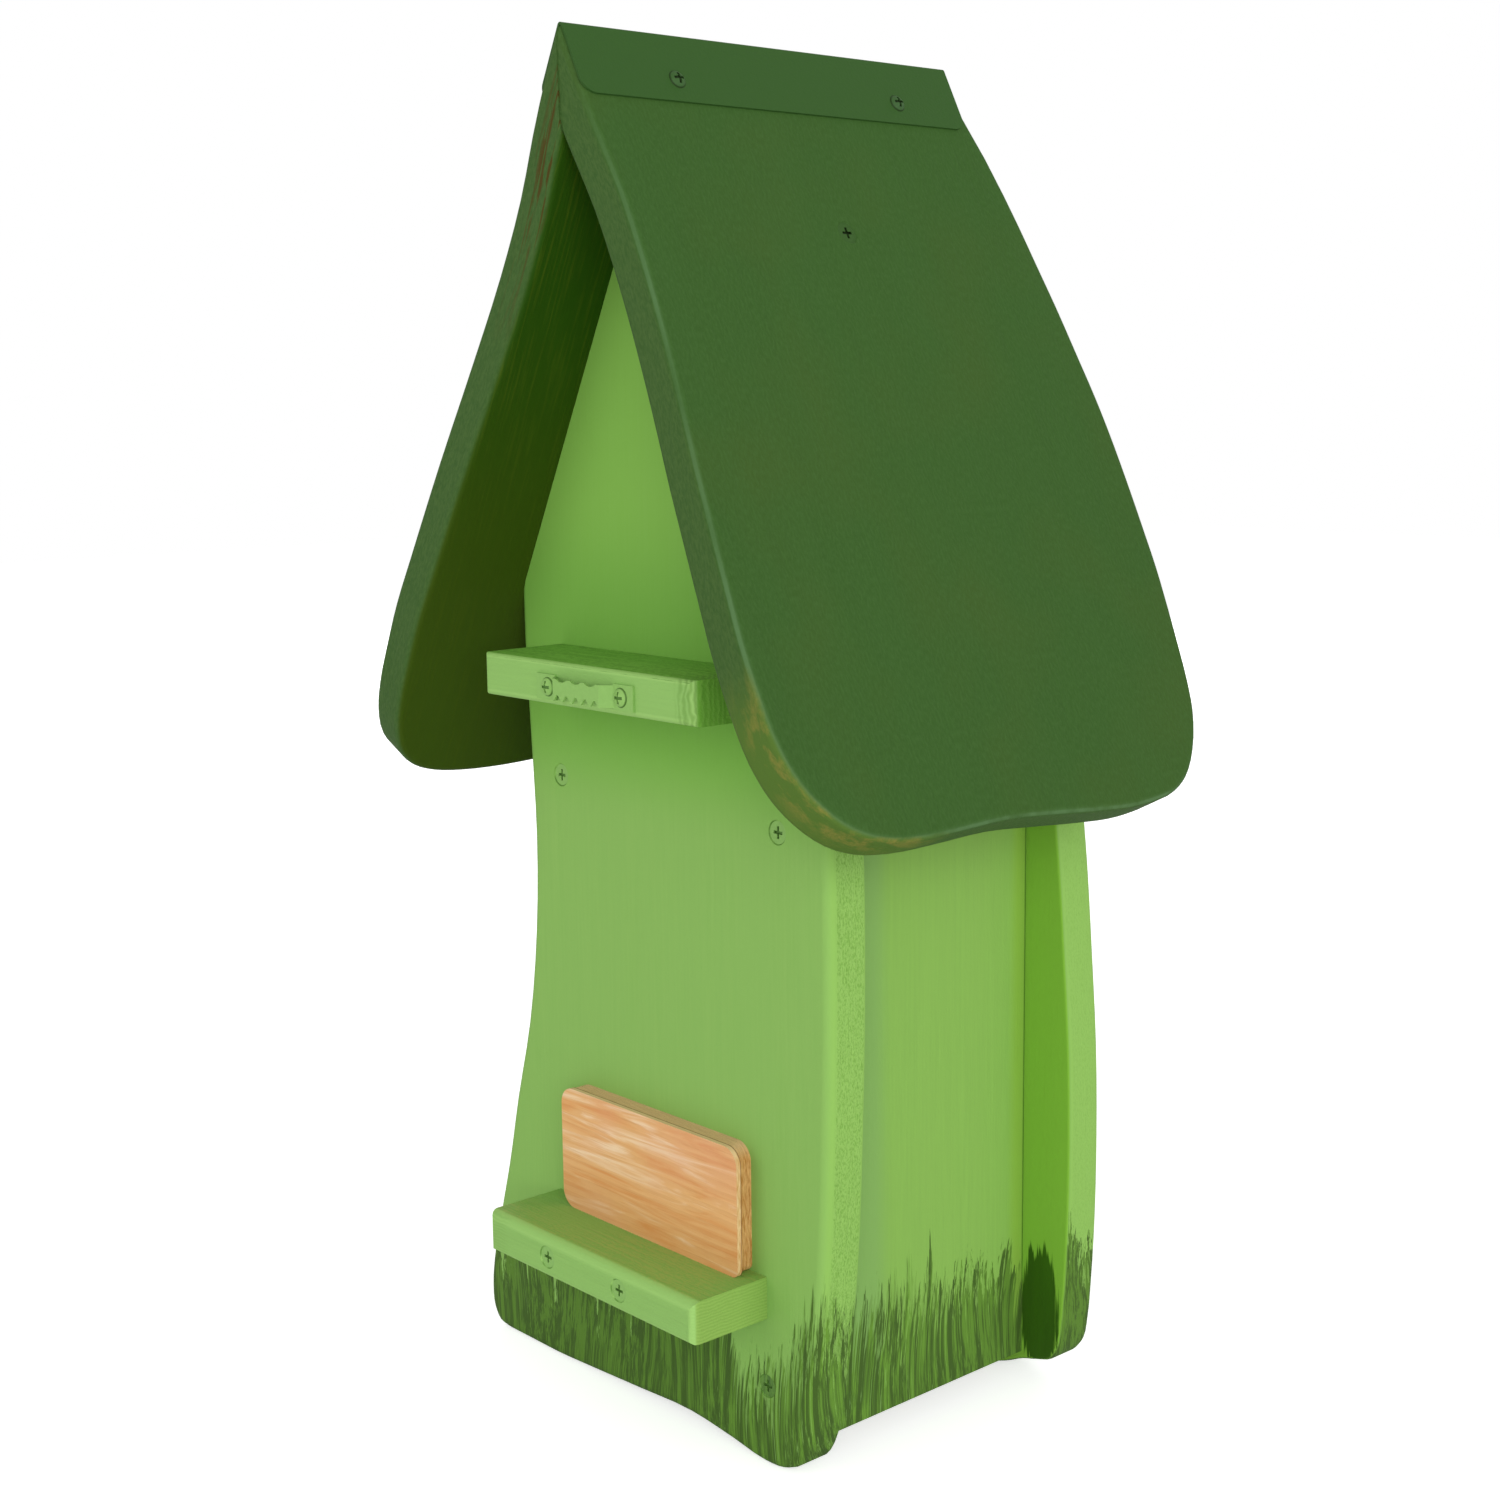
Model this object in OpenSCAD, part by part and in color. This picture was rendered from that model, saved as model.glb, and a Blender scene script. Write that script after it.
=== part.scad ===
// Nest box for small birds: a tall, narrow body of wavy-edged boards under a
// steep roof of two wavy-edged panels, with two battens and a toothed hanger
// on the back, so that it can stand on a shelf or hang on a wall.
// Millimetres. It stands on Z = 0 and the ridge runs along Y. The entrance is
// at -Y, the battens and the hanger are at +Y. Left is -X, the left hand of
// a person who looks at the entrance.

/* [Roof] */
// height of the sharp ridge line of the wood above the ground
ridge_z = 449; // [430:0.5:480]
// lean of each roof panel from the upright
roof_angle = 27; // [25:0.5:30]
// thickness of a roof panel
roof_t = 15; // [12:0.5:18]
// length of a panel down its slope, from the ridge to its lowest point
roof_len = 264.8; // [250:0.1:280]
// furthest reach of the panels behind the back board
rear_overhang = 43.6; // [36:0.1:50]
// furthest reach of the panels in front of the front board
front_overhang = 24.4; // [18:0.1:30]
// radius of the rounded arrises of the panels
roof_arris_r = 2.5; // [1:0.5:4]

/* [Ridge cap] */
// thickness of the folded sheet
cap_t = 0.8; // [0.5:0.1:1.2]
// length of each leg of the cap down the slope
cap_len = 23.7; // [20:0.5:30]
// inside radius of the fold
fold_r = 0.4; // [0.2:0.1:1.2]
// radius of the four rounded corners
cap_corner_r = 5; // [2:0.5:8]
// set-back of the cap from the furthest rear reach of the panels
cap_rear_in = 11; // [9:0.1:14]
// set-back of the cap from the furthest front reach of the panels
cap_front_in = 17.4; // [17:0.1:21]

/* [Body] */
// thickness of the front and the back board
board_t = 16; // [14:0.5:20]
// thickness of the side walls
side_t = 16; // [14:0.5:20]
// inside width of the nest chamber
chamber_w = 91; // [85:1:100]
// inside depth of the nest chamber
chamber_d = 92; // [85:1:110]
// height of the side walls' lower ends above the ground
side_bottom_z = 10; // [6:0.5:14]
// radius of the arrises on the outer face of the boards
outer_arris_r = 3.5; // [2:0.5:5]
// radius of the arrises on the inner face of the boards
inner_arris_r = 1.5; // [1:0.5:3]

/* [Floor and ridge block] */
// thickness of the floor
floor_t = 12; // [9:0.5:16]
// height of the floor's underside above the ground
floor_z = 22; // [18:0.5:34]
// radius of the drain holes in the floor
drain_r = 4; // [3:0.5:6]
// distance of the block's underside below the panels' inner ridge line
block_drop = 50; // [44:1:56]
// height of the block under the ridge
block_h = 36; // [30:1:40]
// thickness of the glue film under the roof panels
glue_film = 0.05; // [0:0.01:0.2]

/* [Entrance] */
// radius of the entrance hole
entrance_r = 16; // [13:0.5:17]
// height of the middle of the entrance hole
entrance_z = 215; // [190:1:240]

/* [Battens] */
// thickness of both battens
batten_t = 14; // [12:0.5:18]
// radius of the battens' upright rear corners
batten_corner_r = 3.3; // [2:0.1:5]
// radius of the upper batten's top arris
upper_top_r = 2; // [0.5:0.5:5]
// radius of the upper batten's bottom arris
upper_low_r = 3; // [0.5:0.5:5]
// radius of the lower batten's top arris
lower_top_r = 4; // [0.5:0.5:5]
// radius of the lower batten's bottom arris
lower_low_r = 2; // [0.5:0.5:5]
// length of the upper batten
upper_len = 106.4; // [100:0.2:116]
// depth of the upper batten behind the back board
upper_depth = 32.3; // [28:0.1:35]
// distance of the upper batten's underside below the sharp ridge line
upper_drop = 205; // [199:1:213]
// offset of the upper batten's middle from the middle of the box
upper_shift = -2.9; // [-6:0.1:0]
// length of the lower batten
lower_len = 108.4; // [100:0.2:116]
// depth of the lower batten behind the back board
lower_depth = 31; // [28:0.1:35]
// height of the lower batten's underside
lower_z = 50.2; // [46:0.2:56]
// offset of the lower batten's middle from the middle of the box
lower_shift = 4.8; // [2:0.1:8]

/* [Hanger] */
// offset of the hanger's middle from the middle of the box
hanger_shift = -4.6; // [-8:0.1:0]
// height of the hanger's middle above the batten's underside
hanger_up = 6; // [5:0.5:9]
// distance of the hanger's screws from its middle
hanger_screw_out = 18.4; // [17.5:0.1:19.5]
// thickness of the hanger's sheet
hanger_t = 0.8; // [0.6:0.1:1.2]
// length of the hanger over both tabs
hanger_len = 48.6; // [46:0.2:54]
// height of the hanger's tabs
hanger_h = 8; // [7:0.5:9]
// length of the raised bridge between the tabs
bridge_len = 23.2; // [22:0.2:26]
// height of the raised bridge's strip
bridge_h = 7; // [6:0.5:8]
// how far the bridge's outer face stands off the batten
bridge_rise = 4; // [3:0.1:5]
// length of the ramps at both ends of the bridge
ramp_len = 3.4; // [2:0.1:3.6]
// distance between neighbouring teeth
tooth_pitch = 4.7; // [4:0.1:4.8]
// depth of the scallops in the bridge's upper edge
scallop_dip = 0.9; // [0.4:0.1:1.4]

/* [Plaque] */
// width of the plaque's front layer
plaque_w = 91; // [80:0.5:96]
// height of the plaque's front layer
plaque_h = 42.5; // [36:0.5:50]
// thickness of the plaque's front layer
face_t = 2; // [1.5:0.5:4]
// thickness of the plaque's rear layer
base_t = 6; // [4:0.5:8]
// offset of the plaque's middle from the middle of the box
plaque_shift = 0.9; // [-2:0.1:4]
// radius of three of the plaque's corners
plaque_r = 6; // [4:0.5:8]
// radius of the plaque's lower left corner
plaque_low_r = 2.5; // [1:0.5:6]
// how far the rear layer's left edge lies behind the front layer's
base_in = 2.1; // [0:0.1:4]
// how far the rear layer stays below the front layer's top
base_lower = 0.3; // [0:0.1:3]

/* [Screws] */
// radius of the countersunk heads in the boards
board_head_r = 3.6; // [3:0.1:4.5]
// radius of the shanks in the boards
board_shank_r = 2; // [1.5:0.1:2.4]
// length of the screws through the boards
board_screw_len = 45; // [35:1:55]
// distance of the upper screws in the back board below the sharp ridge line
top_screw_drop = 236; // [230:1:244]
// difference in height between the upper screws of the front and back board
top_screw_step = 23; // [0:1:26]
// length of the screws through the lower batten
batten_screw_len = 42; // [36:1:44]
// length of the screws through the roof panels
roof_screw_len = 30; // [24:1:32]
// distance of the roof screws from the ridge, down the slope
roof_screw_s = 66; // [60:1:72]
// offset of the roof screws from the middle of the chamber
roof_screw_shift = 5.5; // [-10:0.5:10]
// radius of the small pan heads on the cap and the hanger
pan_head_r = 3.1; // [2.6:0.1:3.4]
// height of the small pan heads
pan_head_h = 1.5; // [1:0.1:2]
// radius of the small screws' shanks
pan_shank_r = 1.4; // [1.2:0.1:1.6]
// length of the cap screws under their heads
cap_screw_len = 7; // [5:0.5:7.5]
// distance of the cap screws from the ridge, down the slope
cap_screw_s = 16; // [14.5:0.5:17]
// distance of the rear cap screws from the cap's rear end
cap_screw_rear = 38.3; // [30:0.1:44]
// distance of the front cap screws from the cap's front end
cap_screw_front = 30; // [24:1:40]
// length of the hanger screws under their heads
hanger_screw_len = 14; // [10:1:18]
// how far the countersunk heads lie below the wood's surface
head_sink = 0.35; // [0:0.05:0.6]
// radius of the screws' blunt tips
tip_r = 0.3; // [0.2:0.1:0.5]
// free room round a shank in its hole
hole_clear = 0.15; // [0.1:0.05:0.3]

/* [Hidden] */

// curve pieces between two points of a wavy edge
curve_steps = 3;
// sides of full circles
$fn = 48;

// The roof's whole depth is centred on Y = 0.
body_d = 2 * board_t + chamber_d;
roof_d = rear_overhang + body_d + front_overhang;
roof_rear_y = roof_d / 2;
roof_front_y = -roof_d / 2;
back_y = roof_rear_y - rear_overhang;
back_in_y = back_y - board_t;
front_in_y = back_in_y - chamber_d;
front_y = front_in_y - board_t;
chamber_y = (back_in_y + front_in_y) / 2;
half_in = chamber_w / 2;
half_out = half_in + side_t;
wall_x = (half_in + half_out) / 2;

// The ridge line where the inner faces of the panels would meet.
inner_ridge_z = ridge_z - roof_t / sin(roof_angle);
// The fold of the cap touches the slopes this far from the sharp ridge line.
fold_s = fold_r / tan(roof_angle);
// The panels' outlines are drawn for a length of 264.8 and a depth of 192.
roof_k = roof_len / 264.8;
dip_k = roof_d / 192;
// Below this distance down the slope a panel's edges follow their own outline.
join_s = 45 * roof_k;

// The boards' outlines are drawn for walls 61.5 out from the middle and for a
// roof whose inner faces meet the boards' edges, 73.5 out, at a height of 271.71.
board_kx = half_out / 61.5;
board_kz = (inner_ridge_z - 73.5 * board_kx / tan(roof_angle)) / 271.71;

// Heights of the pieces that follow the roof.
block_z = inner_ridge_z - block_drop;
upper_z = ridge_z - upper_drop;
hanger_z = upper_z + hanger_up;

// Places of the screws. Those in the boards run into the side walls, the upper
// ones below the roof's slope and the lower ones beside the floor.
top_z = ridge_z - top_screw_drop;
low_z = floor_z + floor_t / 2;
back_screws = [
    [wall_x - 0.05 * side_t, top_z],
    [-wall_x - 0.175 * side_t, top_z - floor_t * 0.375],
    [-wall_x + 0.28 * side_t, low_z - floor_t * 0.05],
    [wall_x - 0.22 * side_t, low_z + floor_t * 2 / 3]
];
front_screws = [
    [wall_x - 0.03 * side_t, top_z + top_screw_step],
    [-wall_x - 0.03 * side_t, top_z + 0.87 * top_screw_step],
    [-wall_x + 0.22 * side_t, low_z + floor_t / 2],
    [wall_x - 0.16 * side_t, low_z + floor_t * 2 / 3]
];
lower_batten_screw_x = [lower_shift + 0.191 * lower_len, lower_shift - 0.1605 * lower_len];
lower_batten_screw_z = lower_z + batten_t / 2;
hanger_screw_x = [hanger_shift - hanger_screw_out, hanger_shift + hanger_screw_out];
cap_rear_y = roof_rear_y - cap_rear_in;
cap_front_y = roof_front_y + cap_front_in;
cap_screw_y = [cap_rear_y - cap_screw_rear, cap_front_y + cap_screw_front];
roof_screw_y = chamber_y + roof_screw_shift;

// Wavy edge of the back board as [x, z]: left edge from the top down, the two
// feet with the low arch between them, right edge from the foot up.
back_edge = [
    [-74.5, 449], [-74.5, 290], [-76.5, 240], [-78.6, 200], [-78.9, 165],
    [-77.5, 110], [-75, 68], [-71.5, 40], [-68, 20], [-64.6, 9], [-61, 3.6],
    [-55, 0.8], [-46, 0], [-30, 1.9], [-9, 3.8], [18, 2.5], [45, 1],
    [66, 0], [82, 0], [94, 0], [100, 1], [104, 6], [105.1, 15], [103.6, 26],
    [98, 46], [92, 66], [85.5, 92], [77, 122], [71.6, 156], [70, 190],
    [71.2, 217], [73.5, 258], [73.5, 290], [73.5, 449]
];

// Wavy edge of the front board, drawn the same way. Its left foot is cut short.
front_edge = [
    [-74, 449], [-73.6, 240], [-74.3, 205], [-76.6, 183], [-79.2, 152],
    [-81.4, 122], [-82.2, 90], [-81.9, 62], [-80.6, 37], [-79.4, 24],
    [-77.6, 15.5], [-74, 10.8], [-68, 8.6], [-61, 6.6], [-53, 3], [-42, 0],
    [-28, 1], [-5, 4], [20, 4], [46, 2.2], [66, 0.6], [82, 0], [94, 0],
    [100, 1], [104, 6], [105.1, 15], [103.6, 26], [98, 46], [92, 66],
    [85.5, 92], [77, 122], [71.6, 156], [70, 190], [71.2, 217], [73.5, 258],
    [73.5, 290], [73.5, 449]
];

// Edges of the roof panels. Front and rear: [distance down the slope, dip from the
// furthest reach]. Eave: [share of the depth from the front, dip from the length].
roof_front = [
    [-20, 17.3], [0, 17.1], [12.7, 16.2], [30, 11.5], [57, 6.8], [76, 4.6],
    [90, 3], [110, 1.4], [125, 0.3], [138, 0], [156, 0.4], [174, 1.3],
    [188, 2.2], [200, 3.7], [215.7, 6], [228, 8.2], [238, 11], [250.7, 18.2],
    [259, 26.7]
];
left_eave = [
    [0.172, 2.6], [0.236, 0.5], [0.295, 0], [0.363, 0.7], [0.461, 2.2],
    [0.578, 3.8], [0.696, 3.2], [0.793, 3.2]
];
left_rear = [
    [260, 28.2], [256, 18.3], [248, 9.3], [240, 4.2], [229, 0.9],
    [215, 0], [198, 0.4], [180, 2.1], [161, 4], [145, 5.6], [128, 7.7],
    [110, 9.7], [80, 12.1], [55, 12.7], [30, 10.8], [0, 9.7], [-20, 9.7]
];
right_eave = [
    [0.172, 2.6], [0.236, 0.5], [0.295, 0], [0.363, 0.5], [0.461, 1.8],
    [0.578, 2.4], [0.696, 1.3], [0.793, 1.8]
];
right_rear = [
    [261.2, 27.5], [257.8, 18.5], [250.5, 10.8], [241, 6.8], [229, 4.6],
    [215, 3.8], [198, 3.5], [180, 4.5], [145, 6.7], [110, 9.7], [80, 11.8],
    [55, 12], [30, 10.1], [0, 9.4], [-20, 9.4]
];

// Direction of a smooth curve through points p at point i.
function heading(p, i) =
    let (
        n = len(p),
        a = p[i] - p[max(i - 1, 0)],
        b = p[min(i + 1, n - 1)] - p[i],
        da = norm(a),
        db = norm(b)
    )
    i == 0 ? b / db
    : i == n - 1 ? a / da
    : (a * db / da + b * da / db) / (da + db);

// Point at share t of the curve from b to c that leaves along mb, arrives along mc.
function bend(b, c, mb, mc, t) =
    b * (2 * t * t * t - 3 * t * t + 1)
    + mb * (t * t * t - 2 * t * t + t)
    + c * (3 * t * t - 2 * t * t * t)
    + mc * (t * t * t - t * t);

// Smooth curve through all points of p.
function smooth(p) = concat(
    [
        for (i = [0 : len(p) - 2])
            let (d = norm(p[i + 1] - p[i]))
            for (k = [0 : curve_steps - 1])
                bend(
                    p[i], p[i + 1],
                    heading(p, i) * d, heading(p, i + 1) * d,
                    k / curve_steps
                )
    ],
    [p[len(p) - 1]]
);

// Outward direction of a counter-clockwise outline at point i.
function outward(p, i) =
    let (
        n = len(p),
        d = p[(i + 1) % n] - p[(i + n - 1) % n]
    )
    [d[1], -d[0]] / norm(d);

// Steps round an arris of radius r, each as [inset, depth].
function arris(r) = [
    for (a = [0 : 30 : 90])
        [r * (1 - sin(a)), r * (1 - cos(a))]
];

// Steps up the edge of a board of thickness t, each as [inset, height].
function edge_steps(t, r_low, r_high) =
    let (high = arris(r_high))
    concat(
        arris(r_low),
        [for (k = [len(high) - 1 : -1 : 0]) [high[k][0], t - high[k][1]]]
    );

// Closed skin over rings of points that lie above each other. Its two ends are
// fans round the points low_mid and high_mid.
module skin(rings, low_mid, high_mid) {
    n = len(rings[0]);
    m = len(rings);
    walls = [
        for (k = [0 : m - 2])
            for (i = [0 : n - 1])
                let (
                    j = (i + 1) % n,
                    a = k * n,
                    b = (k + 1) * n
                )
                each [[a + i, b + i, b + j], [a + i, b + j, a + j]]
    ];
    low_face = [
        for (i = [0 : n - 1])
            [i, (i + 1) % n, m * n]
    ];
    high_face = [
        for (i = [0 : n - 1])
            [(m - 1) * n + (i + 1) % n, (m - 1) * n + i, m * n + 1]
    ];
    polyhedron(
        concat([for (ring = rings) each ring], [low_mid, high_mid]),
        concat(low_face, walls, high_face),
        convexity = 8
    );
}

// Board with the outline p and rounded arrises, from z = 0 up to z = t. The
// point mid sees the whole outline.
module wavy_board(p, mid, t, r_low, r_high) {
    skin(
        [
            for (step = edge_steps(t, r_low, r_high))
                [
                    for (i = [0 : len(p) - 1])
                        let (q = p[i] - outward(p, i) * step[0])
                        [q[0], q[1], step[1]]
                ]
        ],
        [mid[0], mid[1], 0],
        [mid[0], mid[1], t]
    );
}

// Everything under the inner faces of the roof panels, less the glue film.
module under_roof() {
    peak_z = inner_ridge_z - glue_film / sin(roof_angle);
    drop = peak_z + 20;
    reach = drop * tan(roof_angle);
    translate([0, roof_d, 0])
        rotate([90, 0, 0])
            linear_extrude(height = 2 * roof_d)
                polygon([[-reach, -20], [reach, -20], [0, peak_z]]);
}

// Lays a drawing on the outer face of the right roof panel: x runs down the
// slope from the ridge, y along the ridge, z out of the panel.
module on_slope() {
    translate([0, 0, ridge_z])
        rotate([0, 90 - roof_angle, 0])
            children();
}

// Hole for a shank, drilled down from z = 0. Its countersink is deep enough for
// the head to lie a little below the surface.
module screw_hole(head_r, shank_r, depth) {
    sink_h = head_r - shank_r + head_sink;
    translate([0, 0, -depth])
        cylinder(h = depth + 1, r = shank_r + hole_clear);
    translate([0, 0, -sink_h])
        cylinder(h = sink_h, r1 = shank_r, r2 = head_r + head_sink);
    cylinder(h = 1, r = head_r + head_sink);
}

// Cross recess cut into a head whose top lies at z = 0.
module cross_recess(r) {
    translate([-r, -r / 4, -r / 2])
        cube([2 * r, r / 2, r]);
    translate([-r / 4, -r, -r / 2])
        cube([r / 2, 2 * r, r]);
}

// Countersunk screw, driven in a little below z = 0, its tip down at -depth.
module flat_screw(head_r, shank_r, depth) {
    neck_z = -head_sink - (head_r - shank_r);
    difference() {
        union() {
            translate([0, 0, neck_z])
                cylinder(h = head_r - shank_r, r1 = shank_r, r2 = head_r);
            translate([0, 0, 2 * shank_r - depth])
                cylinder(h = neck_z + depth - 2 * shank_r, r = shank_r);
            translate([0, 0, -depth])
                cylinder(h = 2 * shank_r, r1 = tip_r, r2 = shank_r);
        }
        translate([0, 0, -head_sink])
            cross_recess(head_r * 0.55);
    }
}

// Pan head screw whose head sits on z = 0, with its tip down.
module pan_screw(length) {
    crown_r = (pan_head_r * pan_head_r + pan_head_h * pan_head_h) / (2 * pan_head_h);
    difference() {
        union() {
            intersection() {
                translate([0, 0, pan_head_h - crown_r])
                    sphere(r = crown_r);
                cylinder(h = pan_head_h + 1, r = pan_head_r);
            }
            translate([0, 0, 2 * pan_shank_r - length])
                cylinder(h = length - 2 * pan_shank_r, r = pan_shank_r);
            translate([0, 0, -length])
                cylinder(h = 2 * pan_shank_r, r1 = tip_r, r2 = pan_shank_r);
        }
        translate([0, 0, pan_head_h])
            cross_recess(pan_head_r * 0.6);
    }
}

// Turns a drawing's +z to the rear, at height z on the plane y.
module facing_rear(x, y, z) {
    translate([x, y, z])
        rotate([-90, 0, 0])
            children();
}

// Turns a drawing's +z to the front.
module facing_front(x, y, z) {
    translate([x, y, z])
        rotate([90, 0, 0])
            children();
}

// Wavy board standing upright, its rear face at y.
module upright_board(edge, y, r_rear, r_front) {
    path = [for (q = smooth(edge)) [q[0] * board_kx, max(q[1], 0) * board_kz]];
    intersection() {
        translate([0, y, 0])
            rotate([90, 0, 0])
                wavy_board(path, [0, 200 * board_kz], board_t, r_rear, r_front);
        under_roof();
    }
}

module back_board() {
    color("#84b055")
        difference() {
            upright_board(back_edge, back_y, outer_arris_r, inner_arris_r);
            for (q = back_screws)
                facing_rear(q[0], back_y, q[1])
                    screw_hole(board_head_r, board_shank_r, board_t + 1);
            for (x = lower_batten_screw_x)
                facing_rear(x, back_y, lower_batten_screw_z)
                    translate([0, 0, lower_depth - batten_screw_len])
                        cylinder(h = batten_screw_len, r = board_shank_r + hole_clear);
        }
}

module front_board() {
    color("#7fae50")
        difference() {
            upright_board(front_edge, front_in_y, inner_arris_r, outer_arris_r);
            facing_front(0, front_in_y + 1, entrance_z)
                cylinder(h = board_t + 2, r = entrance_r);
            for (q = front_screws)
                facing_front(q[0], front_y, q[1])
                    screw_hole(board_head_r, board_shank_r, board_t + 1);
        }
}

// Side wall on the right, between the two boards, bevelled under the roof.
module side_wall(rear_holes, front_holes) {
    difference() {
        intersection() {
            translate([half_in, front_in_y, side_bottom_z])
                cube([side_t, chamber_d, ridge_z]);
            under_roof();
        }
        for (q = rear_holes)
            facing_rear(abs(q[0]), back_y, q[1])
                translate([0, 0, -board_screw_len])
                    cylinder(h = board_screw_len, r = board_shank_r + hole_clear);
        for (q = front_holes)
            facing_front(abs(q[0]), front_y, q[1])
                translate([0, 0, -board_screw_len])
                    cylinder(h = board_screw_len, r = board_shank_r + hole_clear);
    }
}

module side_wall_right() {
    color("#7aab4a")
        side_wall(
            [for (q = back_screws) if (q[0] > 0) q],
            [for (q = front_screws) if (q[0] > 0) q]
        );
}

module side_wall_left() {
    color("#7aab4a")
        mirror([1, 0, 0])
            side_wall(
                [for (q = back_screws) if (q[0] < 0) q],
                [for (q = front_screws) if (q[0] < 0) q]
            );
}

module floor_board() {
    color("#c9a877")
        difference() {
            translate([-half_in, front_in_y, floor_z])
                cube([chamber_w, chamber_d, floor_t]);
            for (x = [-1, 1])
                for (y = [-1, 1])
                    translate([x * chamber_w / 4, chamber_y + y * chamber_d / 4, floor_z - 1])
                        cylinder(h = floor_t + 2, r = drain_r);
        }
}

module ridge_block() {
    color("#c9a877")
        difference() {
            intersection() {
                translate([-half_in, front_in_y, block_z])
                    cube([chamber_w, chamber_d, block_h]);
                under_roof();
            }
            for (side = [0, 1])
                mirror([side, 0, 0])
                    on_slope()
                        translate([roof_screw_s, roof_screw_y, -roof_screw_len])
                            cylinder(h = roof_screw_len, r = board_shank_r + hole_clear);
        }
}

// Outline of a roof panel on the slope, from beyond the ridge and back again.
function roof_path(eave, rear) =
    smooth(concat(
        [for (q = roof_front) [q[0] * roof_k, roof_front_y + q[1] * dip_k]],
        [for (q = eave) [roof_len - q[1] * roof_k, roof_front_y + q[0] * roof_d]],
        [for (q = rear) [q[0] * roof_k, roof_rear_y - q[1] * dip_k]]
    ));

// Ring round a panel at height h above its inner face, drawn in by inset. At
// the ridge it ends in the mitre plane, and the sharp ridge itself is planed.
function roof_ring(path, inset, h) =
    let (
        n = len(path),
        s0 = max((roof_t - h) / tan(roof_angle), fold_s + 0.15),
        front = [for (q = path) if (q[1] < 0) q],
        rear = [for (q = path) if (q[1] > 0) q]
    )
    concat(
        [
            for (k = [0 : 3])
                let (s = s0 + (join_s - s0) * k / 4)
                [s, lookup(s, front) + inset, h]
        ],
        [
            for (i = [0 : n - 1])
                if (path[i][0] > join_s)
                    let (q = path[i] - outward(path, i) * inset)
                    [q[0], q[1], h]
        ],
        [
            for (k = [3 : -1 : 0])
                let (s = s0 + (join_s - s0) * k / 4)
                [s, lookup(s, rear) - inset, h]
        ]
    );

// Roof panel with the outline path, laid on the right and mitred at the ridge.
module roof_panel(path) {
    difference() {
        on_slope()
            translate([0, 0, -roof_t])
                skin(
                    [
                        for (step = edge_steps(roof_t, roof_arris_r, roof_arris_r))
                            roof_ring(path, step[0], step[1])
                    ],
                    [roof_len / 2, 0, 0],
                    [roof_len / 2, 0, roof_t]
                );
        on_slope()
            translate([roof_screw_s, roof_screw_y, 0])
                screw_hole(board_head_r, board_shank_r, roof_t + 2);
        for (y = cap_screw_y)
            on_slope()
                translate([cap_screw_s, y, -cap_screw_len])
                    cylinder(h = cap_screw_len + 1, r = pan_shank_r + hole_clear);
    }
}

module roof_panel_right() {
    color("#3d5f30")
        roof_panel(roof_path(right_eave, right_rear));
}

module roof_panel_left() {
    color("#3d5f30")
        mirror([1, 0, 0])
            roof_panel(roof_path(left_eave, left_rear));
}

// Cross-section of the cap: x across, y up from the sharp ridge line.
module cap_section() {
    turn = (180 - 2 * roof_angle) / 8;
    along = [sin(roof_angle), -cos(roof_angle)];
    out = [cos(roof_angle), sin(roof_angle)];
    fold_y = -fold_r / sin(roof_angle);
    in_end = along * cap_len;
    out_end = along * cap_len + out * cap_t;
    polygon(concat(
        [in_end, out_end],
        [
            for (k = [0 : 8])
                let (a = roof_angle + k * turn)
                [(fold_r + cap_t) * cos(a), fold_y + (fold_r + cap_t) * sin(a)]
        ],
        [[-out_end[0], out_end[1]], [-in_end[0], in_end[1]]],
        [
            for (k = [8 : -1 : 0])
                let (a = roof_angle + k * turn)
                [fold_r * cos(a), fold_y + fold_r * sin(a)]
        ]
    ));
}

// What is cut away to round a leg's front corner.
module cap_corner() {
    r = cap_corner_r;
    translate([cap_len, cap_front_y, -1])
        linear_extrude(height = cap_t + 2)
            polygon(concat(
                [
                    for (a = [11.25 : 11.25 : 78.75])
                        [-r + r * cos(a), r - r * sin(a)]
                ],
                [[-r - 2, -0.4], [-r - 2, -1], [1, -1], [1, r + 2], [0.4, r + 2]]
            ));
}

module ridge_cap() {
    color("#3a5b2e")
        difference() {
            translate([0, cap_rear_y, ridge_z])
                rotate([90, 0, 0])
                    linear_extrude(height = cap_rear_y - cap_front_y)
                        cap_section();
            for (side = [0, 1])
                mirror([side, 0, 0])
                    on_slope() {
                        cap_corner();
                        translate([0, cap_front_y + cap_rear_y, 0])
                            mirror([0, 1, 0])
                                cap_corner();
                        for (y = cap_screw_y)
                            translate([cap_screw_s, y, -1])
                                cylinder(h = cap_t + 2, r = pan_shank_r + hole_clear);
                    }
        }
}

module ridge_cap_screws() {
    color("#37572c")
        for (side = [0, 1])
            mirror([side, 0, 0])
                for (y = cap_screw_y)
                    on_slope()
                        translate([cap_screw_s, y, cap_t])
                            pan_screw(cap_screw_len);
}

module roof_screws() {
    color("#37572c")
        for (side = [0, 1])
            mirror([side, 0, 0])
                on_slope()
                    translate([roof_screw_s, roof_screw_y, 0])
                        flat_screw(board_head_r, board_shank_r, roof_screw_len);
}

module back_board_screws() {
    color("#7fab52")
        for (q = back_screws)
            facing_rear(q[0], back_y, q[1])
                flat_screw(board_head_r, board_shank_r, board_screw_len);
}

module front_board_screws() {
    color("#7fab52")
        for (q = front_screws)
            facing_front(q[0], front_y, q[1])
                flat_screw(board_head_r, board_shank_r, board_screw_len);
}

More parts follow.
